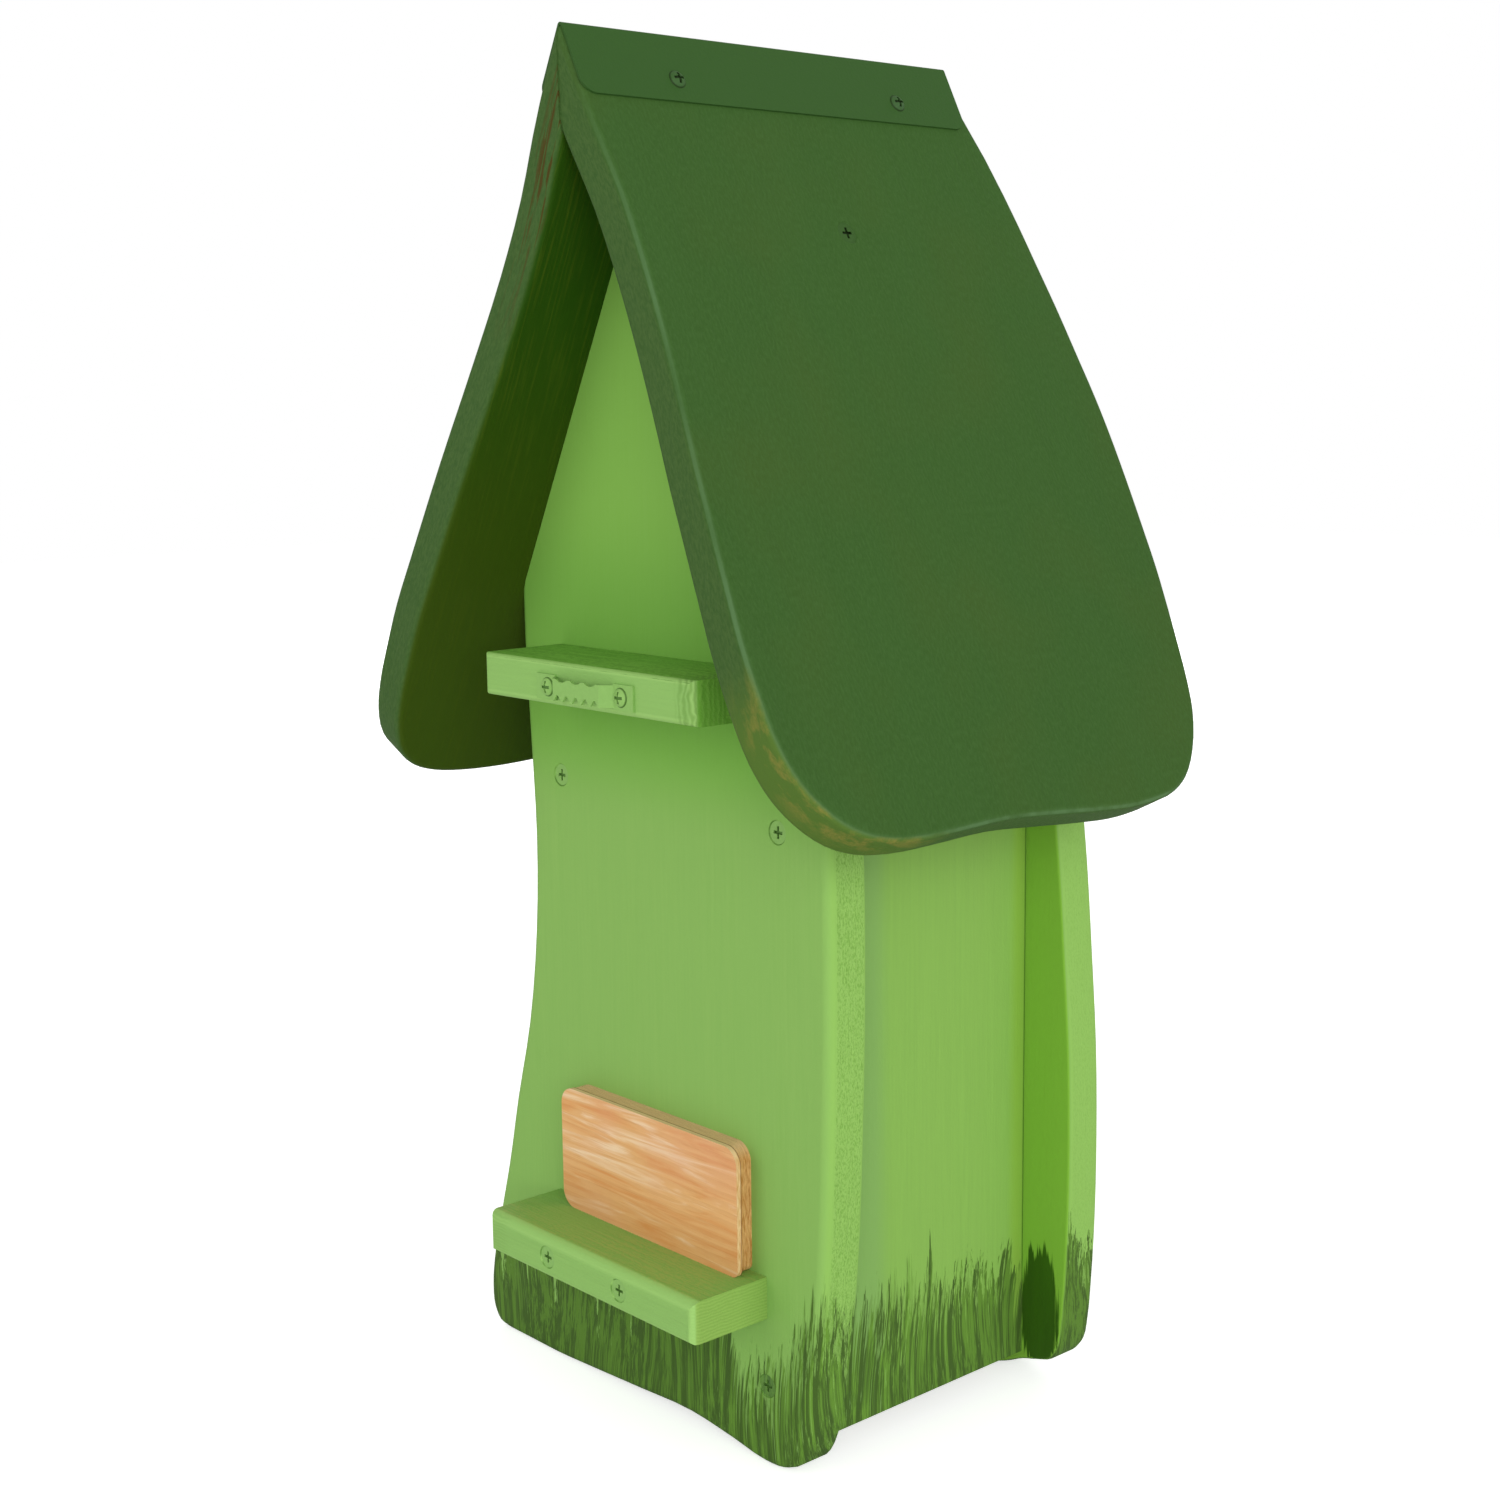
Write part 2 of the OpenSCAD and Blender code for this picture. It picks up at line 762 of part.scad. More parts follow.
// Batten on the back board: rounded rear corners and long rear arrises.
module batten(len, depth, z, shift, top_r, low_r) {
    c = batten_corner_r;
    intersection() {
        translate([shift - len / 2, back_y, z])
            linear_extrude(height = batten_t)
                union() {
                    square([len, depth - c]);
                    translate([c, depth - 2 * c])
                        square([len - 2 * c, 2 * c]);
                    for (x = [c, len - c])
                        translate([x, depth - c])
                            circle(r = c);
                }
        translate([shift - len / 2 - 1, back_y, z])
            rotate([90, 0, 90])
                linear_extrude(height = len + 2)
                    union() {
                        translate([0, low_r])
                            square([depth, batten_t - low_r - top_r]);
                        square([depth - low_r, batten_t / 2]);
                        translate([0, batten_t / 2])
                            square([depth - top_r, batten_t / 2]);
                        translate([depth - low_r, low_r])
                            circle(r = low_r);
                        translate([depth - top_r, batten_t - top_r])
                            circle(r = top_r);
                    }
    }
}

module upper_batten() {
    color("#8ab65f")
        difference() {
            batten(upper_len, upper_depth, upper_z, upper_shift, upper_top_r, upper_low_r);
            for (x = hanger_screw_x)
                facing_rear(x, back_y + upper_depth, hanger_z)
                    translate([0, 0, -hanger_screw_len])
                        cylinder(h = hanger_screw_len + 1, r = pan_shank_r + hole_clear);
        }
}

module lower_batten() {
    color("#8ab65f")
        difference() {
            batten(lower_len, lower_depth, lower_z, lower_shift, lower_top_r, lower_low_r);
            for (x = lower_batten_screw_x)
                facing_rear(x, back_y + lower_depth, lower_batten_screw_z)
                    screw_hole(board_head_r, board_shank_r, lower_depth + 1);
        }
}

module lower_batten_screws() {
    color("#7fab52")
        for (x = lower_batten_screw_x)
            facing_rear(x, back_y + lower_depth, lower_batten_screw_z)
                flat_screw(board_head_r, board_shank_r, batten_screw_len);
}

// Hanger: two flat tabs, with ramps up to a raised bridge that has five notches
// along its lower edge and three shallow scallops along its upper edge. x along the strip,
// y up, z off the batten.
module hanger_plate() {
    half = bridge_len / 2;
    foot = half + ramp_len;
    fold = 0.4 * hanger_t;
    step_l = bridge_rise - hanger_t;
    notch = 0.42 * tooth_pitch;
    dip_r = bridge_len / 5;
    color("#8ab65f")
        translate([hanger_shift, back_y + upper_depth, hanger_z])
            rotate([90, 0, 180])
                difference() {
                    union() {
                        for (side = [0, 1])
                            mirror([side, 0, 0])
                                difference() {
                                    translate([foot - fold, -hanger_h / 2, 0])
                                        cube([hanger_len / 2 - foot + fold, hanger_h, hanger_t]);
                                    translate([hanger_screw_out, 0, -1])
                                        cylinder(h = hanger_t + 2, r = pan_shank_r + hole_clear);
                                }
                        translate([0, bridge_h / 2, 0])
                            rotate([90, 0, 0])
                                linear_extrude(height = bridge_h)
                                    polygon([
                                        [foot, 0], [foot, hanger_t],
                                        [half, bridge_rise], [-half, bridge_rise],
                                        [-foot, hanger_t], [-foot, 0],
                                        [fold - foot, 0], [fold - half, step_l],
                                        [half - fold, step_l], [foot - fold, 0]
                                    ]);
                    }
                    for (k = [-2 : 2])
                        translate([k * tooth_pitch, -bridge_h / 2, step_l - 1])
                            linear_extrude(height = hanger_t + 2)
                                polygon([
                                    [-notch, -1],
                                    [-notch, 0],
                                    [-0.2 * notch, notch],
                                    [0.2 * notch, notch],
                                    [notch, 0],
                                    [notch, -1]
                                ]);
                    for (k = [-1 : 1])
                        translate([k * bridge_len / 3.2, bridge_h / 2 + dip_r - scallop_dip, step_l - 1])
                            cylinder(h = hanger_t + 2, r = dip_r);
                }
}

module hanger_screws() {
    color("#8ab65f")
        for (x = hanger_screw_x)
            facing_rear(x, back_y + upper_depth + hanger_t, hanger_z)
                pan_screw(hanger_screw_len);
}

// Points round a corner with its middle at [x, y], from angle a on.
function corner(x, y, r, a) = [
    for (k = [0 : 8])
        [x + r * cos(a + k * 11.25), y + r * sin(a + k * 11.25)]
];

// Plaque layer with its lower left corner at [0, 0].
module plaque_layer(w, h, t) {
    r = plaque_r;
    s = plaque_low_r;
    linear_extrude(height = t)
        polygon(concat(
            corner(s, s, s, 180),
            corner(w - r, r, r, 270),
            corner(w - r, h - r, r, 0),
            corner(r, h - r, r, 90)
        ));
}

module plaque_base() {
    color("#b98a52")
        facing_rear(0, back_y, lower_z + batten_t)
            mirror([0, 1, 0])
                translate([plaque_shift - plaque_w / 2 + base_in, 0, 0])
                    plaque_layer(plaque_w - base_in, plaque_h - base_lower, base_t);
}

module plaque_face() {
    color("#d9a36c")
        facing_rear(0, back_y + base_t, lower_z + batten_t)
            mirror([0, 1, 0])
                translate([plaque_shift - plaque_w / 2, 0, 0])
                    plaque_layer(plaque_w, plaque_h, face_t);
}

back_board();
front_board();
side_wall_left();
side_wall_right();
floor_board();
ridge_block();
roof_panel_left();
roof_panel_right();
ridge_cap();
ridge_cap_screws();
roof_screws();
back_board_screws();
front_board_screws();
upper_batten();
lower_batten();
lower_batten_screws();
hanger_plate();
hanger_screws();
plaque_base();
plaque_face();
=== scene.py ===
# %% [markdown]
# # A nest box with wavy boards
#
# This lesson dresses a wooden nest box that was built beforehand as solids:
# boards, roof panels, battens, screws and a hanger. The solids already have
# the right shapes and places, so the work here is the camera, the light and
# the paint. Everything is in metres and the box stands on Z = 0.

# %% Load the solids
import bpy
import math
import random
from mathutils import Matrix, Vector

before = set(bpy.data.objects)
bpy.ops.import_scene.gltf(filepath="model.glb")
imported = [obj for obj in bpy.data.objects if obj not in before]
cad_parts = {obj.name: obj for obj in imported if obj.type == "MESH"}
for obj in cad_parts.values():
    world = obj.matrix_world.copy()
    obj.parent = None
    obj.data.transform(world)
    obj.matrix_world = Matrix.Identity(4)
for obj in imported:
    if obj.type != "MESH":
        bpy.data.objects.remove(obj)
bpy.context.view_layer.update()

# %% [markdown]
# ## The camera
#
# The box is seen from behind, a little from above. The viewing line was
# worked out from the slopes of the roof and the upright edges of the boards.
# A camera needs a place and three directions: right, up, and back, which is
# against the viewing line. They are the columns of its matrix.

# %% Camera
eye = Vector((-0.54311, 0.49395, 0.34073))
look = Vector((0.73909, -0.65427, -0.16022)).normalized()
right = Vector((-0.66417, -0.74749, -0.01137)).normalized()
up = right.cross(look).normalized()
right = look.cross(up)

lens = bpy.data.cameras.new("rear_camera")
lens.sensor_width = 36
lens.lens = 52.94
lens.clip_start = 0.01
camera = bpy.data.objects.new("rear_camera", lens)
camera.matrix_world = Matrix((
    (right.x, up.x, -look.x, eye.x),
    (right.y, up.y, -look.y, eye.y),
    (right.z, up.z, -look.z, eye.z),
    (0, 0, 0, 1),
))
bpy.context.scene.collection.objects.link(camera)
bpy.context.scene.camera = camera
bpy.context.scene.view_settings.view_transform = "Standard"
print("camera at", tuple(round(v, 3) for v in eye), "looking", tuple(round(v, 3) for v in look))

# %% [markdown]
# ## Helpers for materials
#
# Paint colours are read off a screen as sRGB hex values, but a shader counts
# in linear light, so one function turns them. A second function adds a node:
# it sets the node's settings, and each input gets a value, another node's
# first output, or one named output.

# %% Colour and node helpers
def colour(code):
    """Linear RGBA of an sRGB hex colour such as #8AB65F."""
    parts = [int(code[i:i + 2], 16) / 255 for i in (1, 3, 5)]
    return [p / 12.92 if p <= 0.04045 else ((p + 0.055) / 1.055) ** 2.4 for p in parts] + [1]


def add(tree, kind, inputs=None, **settings):
    """Add a node, set it up and link its inputs."""
    node = tree.nodes.new(kind)
    for name, value in settings.items():
        setattr(node, name, value)
    for key, value in (inputs or {}).items():
        if isinstance(value, bpy.types.Node):
            value = next(socket for socket in value.outputs if socket.enabled)
        if isinstance(value, bpy.types.NodeSocket):
            tree.links.new(value, node.inputs[key])
        else:
            node.inputs[key].default_value = value
    return node


print("#8AB65F is", [round(v, 3) for v in colour("#8AB65F")])

# %% [markdown]
# ## The light
#
# The box stands in soft daylight on a white ground, so the world gives much of
# the light. Four large lamps give the rest. The key lamp near the camera is the
# strongest, because in such a product picture the faces towards the camera are
# bright and the undersides and the tops of the battens are not. The camera and
# mirror-like rays see plain white behind the box, and the light itself stays
# moderate.

# %% World, lamps and floor
world = bpy.data.worlds.new("studio")
world.use_nodes = True
bpy.context.scene.world = world
sky = world.node_tree
sky.nodes.clear()
path = add(sky, "ShaderNodeLightPath")
seen = add(sky, "ShaderNodeMath", {0: path.outputs["Is Camera Ray"], 1: path.outputs["Is Glossy Ray"]},
           operation="MAXIMUM")
seen = add(sky, "ShaderNodeMath", {0: seen, 1: path.outputs["Is Transmission Ray"]}, operation="MAXIMUM")
dim = add(sky, "ShaderNodeBackground", {"Color": (1, 1, 1, 1), "Strength": 0.46})
white = add(sky, "ShaderNodeBackground", {"Color": (1, 1, 1, 1), "Strength": 1.0})
mix = add(sky, "ShaderNodeMixShader", {0: seen, 1: dim, 2: white})
add(sky, "ShaderNodeOutputWorld", {"Surface": mix})

lamp_size = 1.4
aim = Vector((0, 0, 0.2))
lamps = {
    "key": ((-1.8, 1.3, 0.8), 24), "side": ((-2.4, -0.4, 0.7), 14),
    "rear": ((0.5, 2.0, 0.7), 8), "front": ((1.7, -1.7, 0.9), 20),
}
for name, (place, watts) in lamps.items():
    light = bpy.data.lights.new(name, "AREA")
    light.size = lamp_size
    light.energy = watts
    body = bpy.data.objects.new(name, light)
    body.location = place
    body.rotation_euler = (aim - Vector(place)).to_track_quat("-Z", "Y").to_euler()
    bpy.context.scene.collection.objects.link(body)
    print(name, "shines from", place)

half = 4
floor_mesh = bpy.data.meshes.new("floor")
floor_mesh.from_pydata([(-half, -half, 0), (half, -half, 0), (half, half, 0), (-half, half, 0)], [],
                       [(0, 1, 2, 3)])
floor = bpy.data.objects.new("floor", floor_mesh)
bpy.context.scene.collection.objects.link(floor)
ground = bpy.data.materials.new("white_ground")
ground.use_nodes = True
tree = ground.node_tree
tree.nodes.clear()
matt = add(tree, "ShaderNodeBsdfDiffuse", {"Color": (0.9, 0.9, 0.9, 1)})
glow = add(tree, "ShaderNodeEmission", {"Color": (1, 1, 1, 1), "Strength": 0.6})
both = add(tree, "ShaderNodeAddShader", {0: matt, 1: glow})
path = add(tree, "ShaderNodeLightPath")
seen = add(tree, "ShaderNodeMixShader", {0: path.outputs["Is Camera Ray"], 1: matt, 2: both})
add(tree, "ShaderNodeOutputMaterial", {"Surface": seen})
floor.data.materials.append(ground)

# %% [markdown]
# ## Smooth arrises
#
# The solids arrive as loose flat triangles. Modifiers leave their meshes
# alone and still make them look as planed and sanded wood does. A node group
# joins the triangles' corners and shades everything smooth apart from edges
# that turn more than a set angle. Weighted normals then let the large flat
# faces stay flat, so that only the rounded arrises bend the light.

# %% Smooth shading as modifiers
def smooth_group(name, angle):
    """Node group that joins corners and shades smooth below an angle."""
    group = bpy.data.node_groups.new(name, "GeometryNodeTree")
    group.interface.new_socket("Geometry", in_out="INPUT", socket_type="NodeSocketGeometry")
    group.interface.new_socket("Geometry", in_out="OUTPUT", socket_type="NodeSocketGeometry")
    start = add(group, "NodeGroupInput")
    joined = add(group, "GeometryNodeMergeByDistance", {"Geometry": start.outputs[0], "Distance": 0.000005})
    turn = add(group, "GeometryNodeInputMeshEdgeAngle")
    flat = add(group, "FunctionNodeCompare", {0: turn.outputs[0], 1: math.radians(angle)},
               data_type="FLOAT", operation="LESS_THAN")
    faces = add(group, "GeometryNodeSetShadeSmooth", {"Geometry": joined.outputs[0], "Shade Smooth": True},
                domain="FACE")
    edges = add(group, "GeometryNodeSetShadeSmooth", {"Geometry": faces.outputs[0],
                "Shade Smooth": flat.outputs[0]}, domain="EDGE")
    add(group, "NodeGroupOutput", {0: edges.outputs[0]})
    return group


sanded = smooth_group("sanded_edges", 34)
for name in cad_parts:
    piece = bpy.data.objects[name]
    modifier = piece.modifiers.new("sanded", "NODES")
    modifier.node_group = sanded
    modifier = piece.modifiers.new("flat_faces", "WEIGHTED_NORMAL")
    modifier.mode = "FACE_AREA"
    modifier.weight = 80
    modifier.keep_sharp = True
print(len(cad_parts), "solids shaded smooth")

# %% [markdown]
# ## Brush strokes
#
# The box is painted by hand with a brush, along the grain. Up close such a
# coat shows thin streaks a millimetre wide, broader bands where the brush
# overlapped, soft blotches and the small bumps of the wood under the paint.
# One group makes all four from stretched noise for the paint on wood, the cap
# and the bare wood. It wants its point in millimetres with Z along the strokes.

# %% Group: brush strokes
def shader_group(name, inputs, outputs):
    """Shader node group with named sockets, and its input node."""
    group = bpy.data.node_groups.new(name, "ShaderNodeTree")
    for socket, kind in inputs.items():
        group.interface.new_socket(socket, in_out="INPUT", socket_type=kind)
    for socket in outputs:
        group.interface.new_socket(socket, in_out="OUTPUT", socket_type="NodeSocketFloat")
    return group, add(group, "NodeGroupInput")


strokes, start = shader_group("brush_strokes", {"Point": "NodeSocketVector"},
                              ["Streak", "Band", "Blotch", "Speck"])
# Streaks are 1 mm wide and 30 mm long; bands 9 mm wide and 150 mm long.
thin = add(strokes, "ShaderNodeMapping", {"Vector": start, "Scale": (1.0, 1.0, 0.033)})
thin = add(strokes, "ShaderNodeTexNoise", {"Vector": thin, "Scale": 1.0, "Detail": 3.0, "Roughness": 0.6})
band = add(strokes, "ShaderNodeMapping", {"Vector": start, "Scale": (0.11, 0.11, 0.0066)})
band = add(strokes, "ShaderNodeTexNoise", {"Vector": band, "Scale": 1.0, "Detail": 2.0})
blotch = add(strokes, "ShaderNodeTexNoise", {"Vector": start, "Scale": 0.018, "Detail": 2.0})
speck = add(strokes, "ShaderNodeMapping", {"Vector": start, "Scale": (1.2, 1.2, 0.5)})
speck = add(strokes, "ShaderNodeTexNoise", {"Vector": speck, "Scale": 1.0, "Detail": 2.0,
            "Roughness": 0.65})
ends = {}
for name, noise in {"Streak": thin, "Band": band, "Blotch": blotch, "Speck": speck}.items():
    ends[name] = add(strokes, "ShaderNodeMapRange", {"Value": noise, "From Min": 0.28, "From Max": 0.72})
add(strokes, "NodeGroupOutput", ends)
print("group", strokes.name, "has", len(strokes.nodes), "nodes")

# %% [markdown]
# ## Bare softwood
#
# The inside of the box, the floor and the block under the ridge are left bare,
# and the plaque is bare too. Softwood shows growth rings cut along their
# length: a soft rise in tone and a thin dark line of late wood, then fine
# fibres. Rings of a wave texture round a far centre, stretched along the grain,
# give such lines.

# %% Group: softwood
softwood, start = shader_group("softwood", {"Point": "NodeSocketVector"}, ["Rings", "Fibre"])
# The rings are about 2.6 mm apart, and the tree's middle lies 50 mm away.
log = add(softwood, "ShaderNodeMapping", {"Vector": start, "Location": (46, 21, 0),
          "Scale": (1.0, 1.0, 0.07)})
rings = add(softwood, "ShaderNodeTexWave", {"Vector": log, "Scale": 0.12, "Distortion": 2.2, "Detail": 2.0,
            "Detail Scale": 0.5}, wave_type="RINGS", rings_direction="Z", wave_profile="SAW")
fibre = add(softwood, "ShaderNodeMapping", {"Vector": start, "Scale": (2.2, 2.2, 0.06)})
fibre = add(softwood, "ShaderNodeTexNoise", {"Vector": fibre, "Scale": 1.0, "Detail": 3.0,
            "Roughness": 0.6})
add(softwood, "NodeGroupOutput", {"Rings": rings.outputs["Fac"], "Fibre": fibre})
print("group", softwood.name, "has", len(softwood.nodes), "nodes")

# %% [markdown]
# ## Grass painted round the foot
#
# A dark green is dabbed upwards with a stiff brush round the foot of the
# walls, so that it ends in tips like grass. The place of the larger tips is
# given by a curve, height over distance along the wall. The group breaks that
# line into bristle marks and leaves thin gaps below it, where the brush ran dry.

# %% Group: painted grass
grass, start = shader_group("painted_grass", {
    "Point": "NodeSocketVector", "Height": "NodeSocketFloat",
    "Edge": "NodeSocketFloat", "Dry": "NodeSocketFloat",
}, ["Paint", "Deep"])
# The strokes sway by a few millimetres, as the hand does.
sway = add(grass, "ShaderNodeMapping", {"Vector": start.outputs["Point"], "Scale": (0.03, 0.03, 0.014)})
sway = add(grass, "ShaderNodeTexNoise", {"Vector": sway, "Scale": 1.0, "Detail": 0.0})
sway = add(grass, "ShaderNodeVectorMath", {0: sway.outputs["Color"], 1: (0.5, 0.5, 0.5)},
           operation="SUBTRACT")
sway = add(grass, "ShaderNodeVectorMath", {0: sway, 1: (18.0, 18.0, 0.0)}, operation="MULTIPLY")
swept = add(grass, "ShaderNodeVectorMath", {0: start.outputs["Point"], 1: sway})
# Bristle marks are 1.3 mm wide; each moves the edge up or down by up to 11 mm.
marks = add(grass, "ShaderNodeMapping", {"Vector": swept, "Scale": (0.75, 0.75, 0.004)})
marks = add(grass, "ShaderNodeTexNoise", {"Vector": marks, "Scale": 1.0, "Detail": 3.0, "Roughness": 0.75})
shift = add(grass, "ShaderNodeMapRange", {"Value": marks, "From Min": 0.3, "From Max": 0.7,
            "To Min": -11.0, "To Max": 11.0})
line = add(grass, "ShaderNodeMath", {0: start.outputs["Edge"], 1: shift})
depth = add(grass, "ShaderNodeMath", {0: line, 1: start.outputs["Height"]}, operation="SUBTRACT")
body = add(grass, "ShaderNodeMapRange", {"Value": depth, "From Min": -0.3, "From Max": 0.7},
           interpolation_type="SMOOTHSTEP")
# Dry gaps are common at the tips and rare 26 mm below them, and where Dry is 1
# they run down to the ground.
strand = add(grass, "ShaderNodeMapping", {"Vector": swept, "Scale": (1.0, 1.0, 0.009),
             "Location": (31, 7, 0)})
strand = add(grass, "ShaderNodeTexNoise", {"Vector": strand, "Scale": 1.0, "Detail": 4.0, "Roughness": 0.7})
level = add(grass, "ShaderNodeMapRange", {"Value": depth, "From Min": 0.0, "From Max": 26.0,
            "To Min": 0.5, "To Max": 0.68})
level = add(grass, "ShaderNodeMath", {0: start.outputs["Dry"], 1: -0.1, 2: level}, operation="MULTIPLY_ADD")
gap = add(grass, "ShaderNodeMath", {0: strand, 1: level}, operation="SUBTRACT")
gap = add(grass, "ShaderNodeMapRange", {"Value": gap, "From Min": 0.0, "From Max": 0.07, "To Min": 1.0,
          "To Max": 0.3})
paint = add(grass, "ShaderNodeMath", {0: body, 1: gap}, operation="MULTIPLY")
# Thick and thin paint: broad strokes 3 mm wide and hairs under 1 mm wide.
broad = add(grass, "ShaderNodeMapping", {"Vector": swept, "Scale": (0.35, 0.35, 0.006)})
broad = add(grass, "ShaderNodeTexNoise", {"Vector": broad, "Scale": 1.0, "Detail": 2.0})
hairs = add(grass, "ShaderNodeMapping", {"Vector": swept, "Scale": (1.5, 1.5, 0.012),
            "Location": (5, 12, 0)})
hairs = add(grass, "ShaderNodeTexNoise", {"Vector": hairs, "Scale": 1.0, "Detail": 3.0, "Roughness": 0.7})
deep = add(grass, "ShaderNodeMath", {0: broad, 1: hairs})
deep = add(grass, "ShaderNodeMapRange", {"Value": deep, "From Min": 1.2, "From Max": 0.92})
add(grass, "NodeGroupOutput", {"Paint": paint, "Deep": deep})
print("group", grass.name, "has", len(grass.nodes), "nodes")

# %% [markdown]
# ## Wall paint
#
# The walls are softwood under one thin coat of matte light green, brushed
# upwards. The sawn edges of the boards are rough in their middle, and their
# rounded arrises get a painted highlight. The inside stays bare wood. Beside
# the side walls, a strip of the front board faces the rear: it has no grass but
# one full brush of a darker green. Some walls also get bands of painted shade.
# Each wall gets its own material, because the painted grass differs, but one
# function makes them all.
#
# Every paint here is built in the same way, from a first tone and a list of
# coats. A coat is a share from 0 to 1 and a colour, and lies over the ones
# before it.

# %% The tips of the grass
def tuft_line(first, last, seed):
    """Made-up heights of tips and notches for a wall, as (place, height)."""
    pick = random.Random(seed)
    points, place, tip = [], first, True
    while place < last:
        points.append((place, pick.uniform(50, 61) if tip else pick.uniform(36, 45)))
        place += pick.uniform(2.5, 6.5)
        tip = not tip
    return points


# Places along each wall and heights of the paint there, all in millimetres.
back_tips = [
    (-96, 52), (-90, 60), (-85, 56), (-82, 61), (-78, 63), (-74, 64), (-70, 62), (-66, 56), (-63, 50),
    (-60, 44), (-57, 37), (-54, 38), (-51, 39), (-46, 34), (-42, 34), (-38, 30), (-35, 30), (-33, 36),
    (-31, 50), (-28, 56), (12, 54), (13.2, 24), (14.6, 52), (19.4, 50), (20.6, 26), (22, 52),
    (31, 50), (32.4, 22), (34, 48), (37.8, 46), (39.4, 18), (41, 48), (62, 50), (64, 16), (65.6, 46),
    (79, 50), (80.8, 20), (82.6, 48), (95, 34), (96.4, 20), (98, 46), (105, 50),
]
left_tips = [
    (36, 58), (30, 50), (27.4, 60), (24, 47), (20, 50), (17.4, 54), (16, 50), (14.4, 54), (11, 47),
    (8.4, 58), (4, 47), (0.4, 60), (-3.1, 44), (-7.5, 48), (-9.6, 64), (-11, 48), (-14.6, 47), (-20.6, 46),
    (-25.6, 48), (-31.6, 50), (-35.6, 46), (-41.1, 38), (-46.1, 51), (-52.6, 41), (-55.6, 38),
]
front_tips = [
    (-98, 50), (-92, 53), (-90, 51), (-87, 54), (-84, 60), (-80, 58), (-78.6, 44), (-74, 47), (-70, 49),
    (-66, 47), (-63, 40), (-60, 44),
] + tuft_line(-57, 92, 5)
right_tips = tuft_line(-56, 37, 11)
print(len(back_tips), "points for the back board,", len(left_tips), "for the left wall")

# %% Wall paint
def new_material(name, signs=(1, 1, 1), **turn):
    """Empty material, its place, its point in millimetres and the point's axes."""
    material = bpy.data.materials.new(name)
    material.use_nodes = True
    tree = material.node_tree
    tree.nodes.clear()
    place = add(tree, "ShaderNodeTexCoord")
    point = add(tree, "ShaderNodeMapping", {"Vector": place.outputs["Object"],
                "Scale": [sign * 1000 for sign in signs], **turn})
    axes = add(tree, "ShaderNodeSeparateXYZ", {0: point})
    return material, tree, place, point, axes


def dress(names, material, tone, coats, relief, gloss, specular):
    """Lay the coats over the first tone, and give the material to the pieces.

    Relief is a height with its strength and its depth in metres. Gloss is a
    pattern with the roughness at its 0 and at its 1.
    """
    tree = material.node_tree
    for share, paint in coats:
        tone = add(tree, "ShaderNodeMix", {0: share, 6: tone, 7: paint}, data_type="RGBA")
    bump = add(tree, "ShaderNodeBump", {"Height": relief[0], "Strength": relief[1], "Distance": relief[2]})
    rough = add(tree, "ShaderNodeMapRange", {"Value": gloss[0], "To Min": gloss[1], "To Max": gloss[2]})
    shader = add(tree, "ShaderNodeBsdfPrincipled", {"Base Color": tone, "Roughness": rough,
                 "Specular IOR Level": specular, "Normal": bump})
    add(tree, "ShaderNodeOutputMaterial", {"Surface": shader})
    for name in names:
        piece = bpy.data.objects[name]
        piece.data.materials.clear()
        piece.data.materials.append(material)
    print(material.name, "has", len(tree.nodes), "nodes")


# Screw heads lie a little less than this under the wood round them.
head_depth = 0.38


def hole_shade(tree, point, outward, slant, face, size):
    """Share of painted shade on the cone round each sunk screw head, broken into patches."""
    sunk = add(tree, "ShaderNodeMath", {0: outward, 1: face - head_depth}, operation="GREATER_THAN")
    cone = add(tree, "ShaderNodeMath", {0: slant, 1: 0.85}, operation="LESS_THAN")
    cone = add(tree, "ShaderNodeMath", {0: cone, 1: sunk}, operation="MULTIPLY")
    shade_patches = add(tree, "ShaderNodeTexNoise", {"Vector": point, "Scale": size, "Detail": 1.0})
    shade_patches = add(tree, "ShaderNodeMapRange", {"Value": shade_patches, "From Min": 0.4, "From Max": 0.6,
               "To Min": 0.1, "To Max": 0.8})
    return add(tree, "ShaderNodeMath", {0: cone, 1: shade_patches}, operation="MULTIPLY")


# The grass's curve reaches this far to both sides, and this high.
reach, tallest = 110, 80
# The entrance's middle is this high.
entrance_z = 215.0


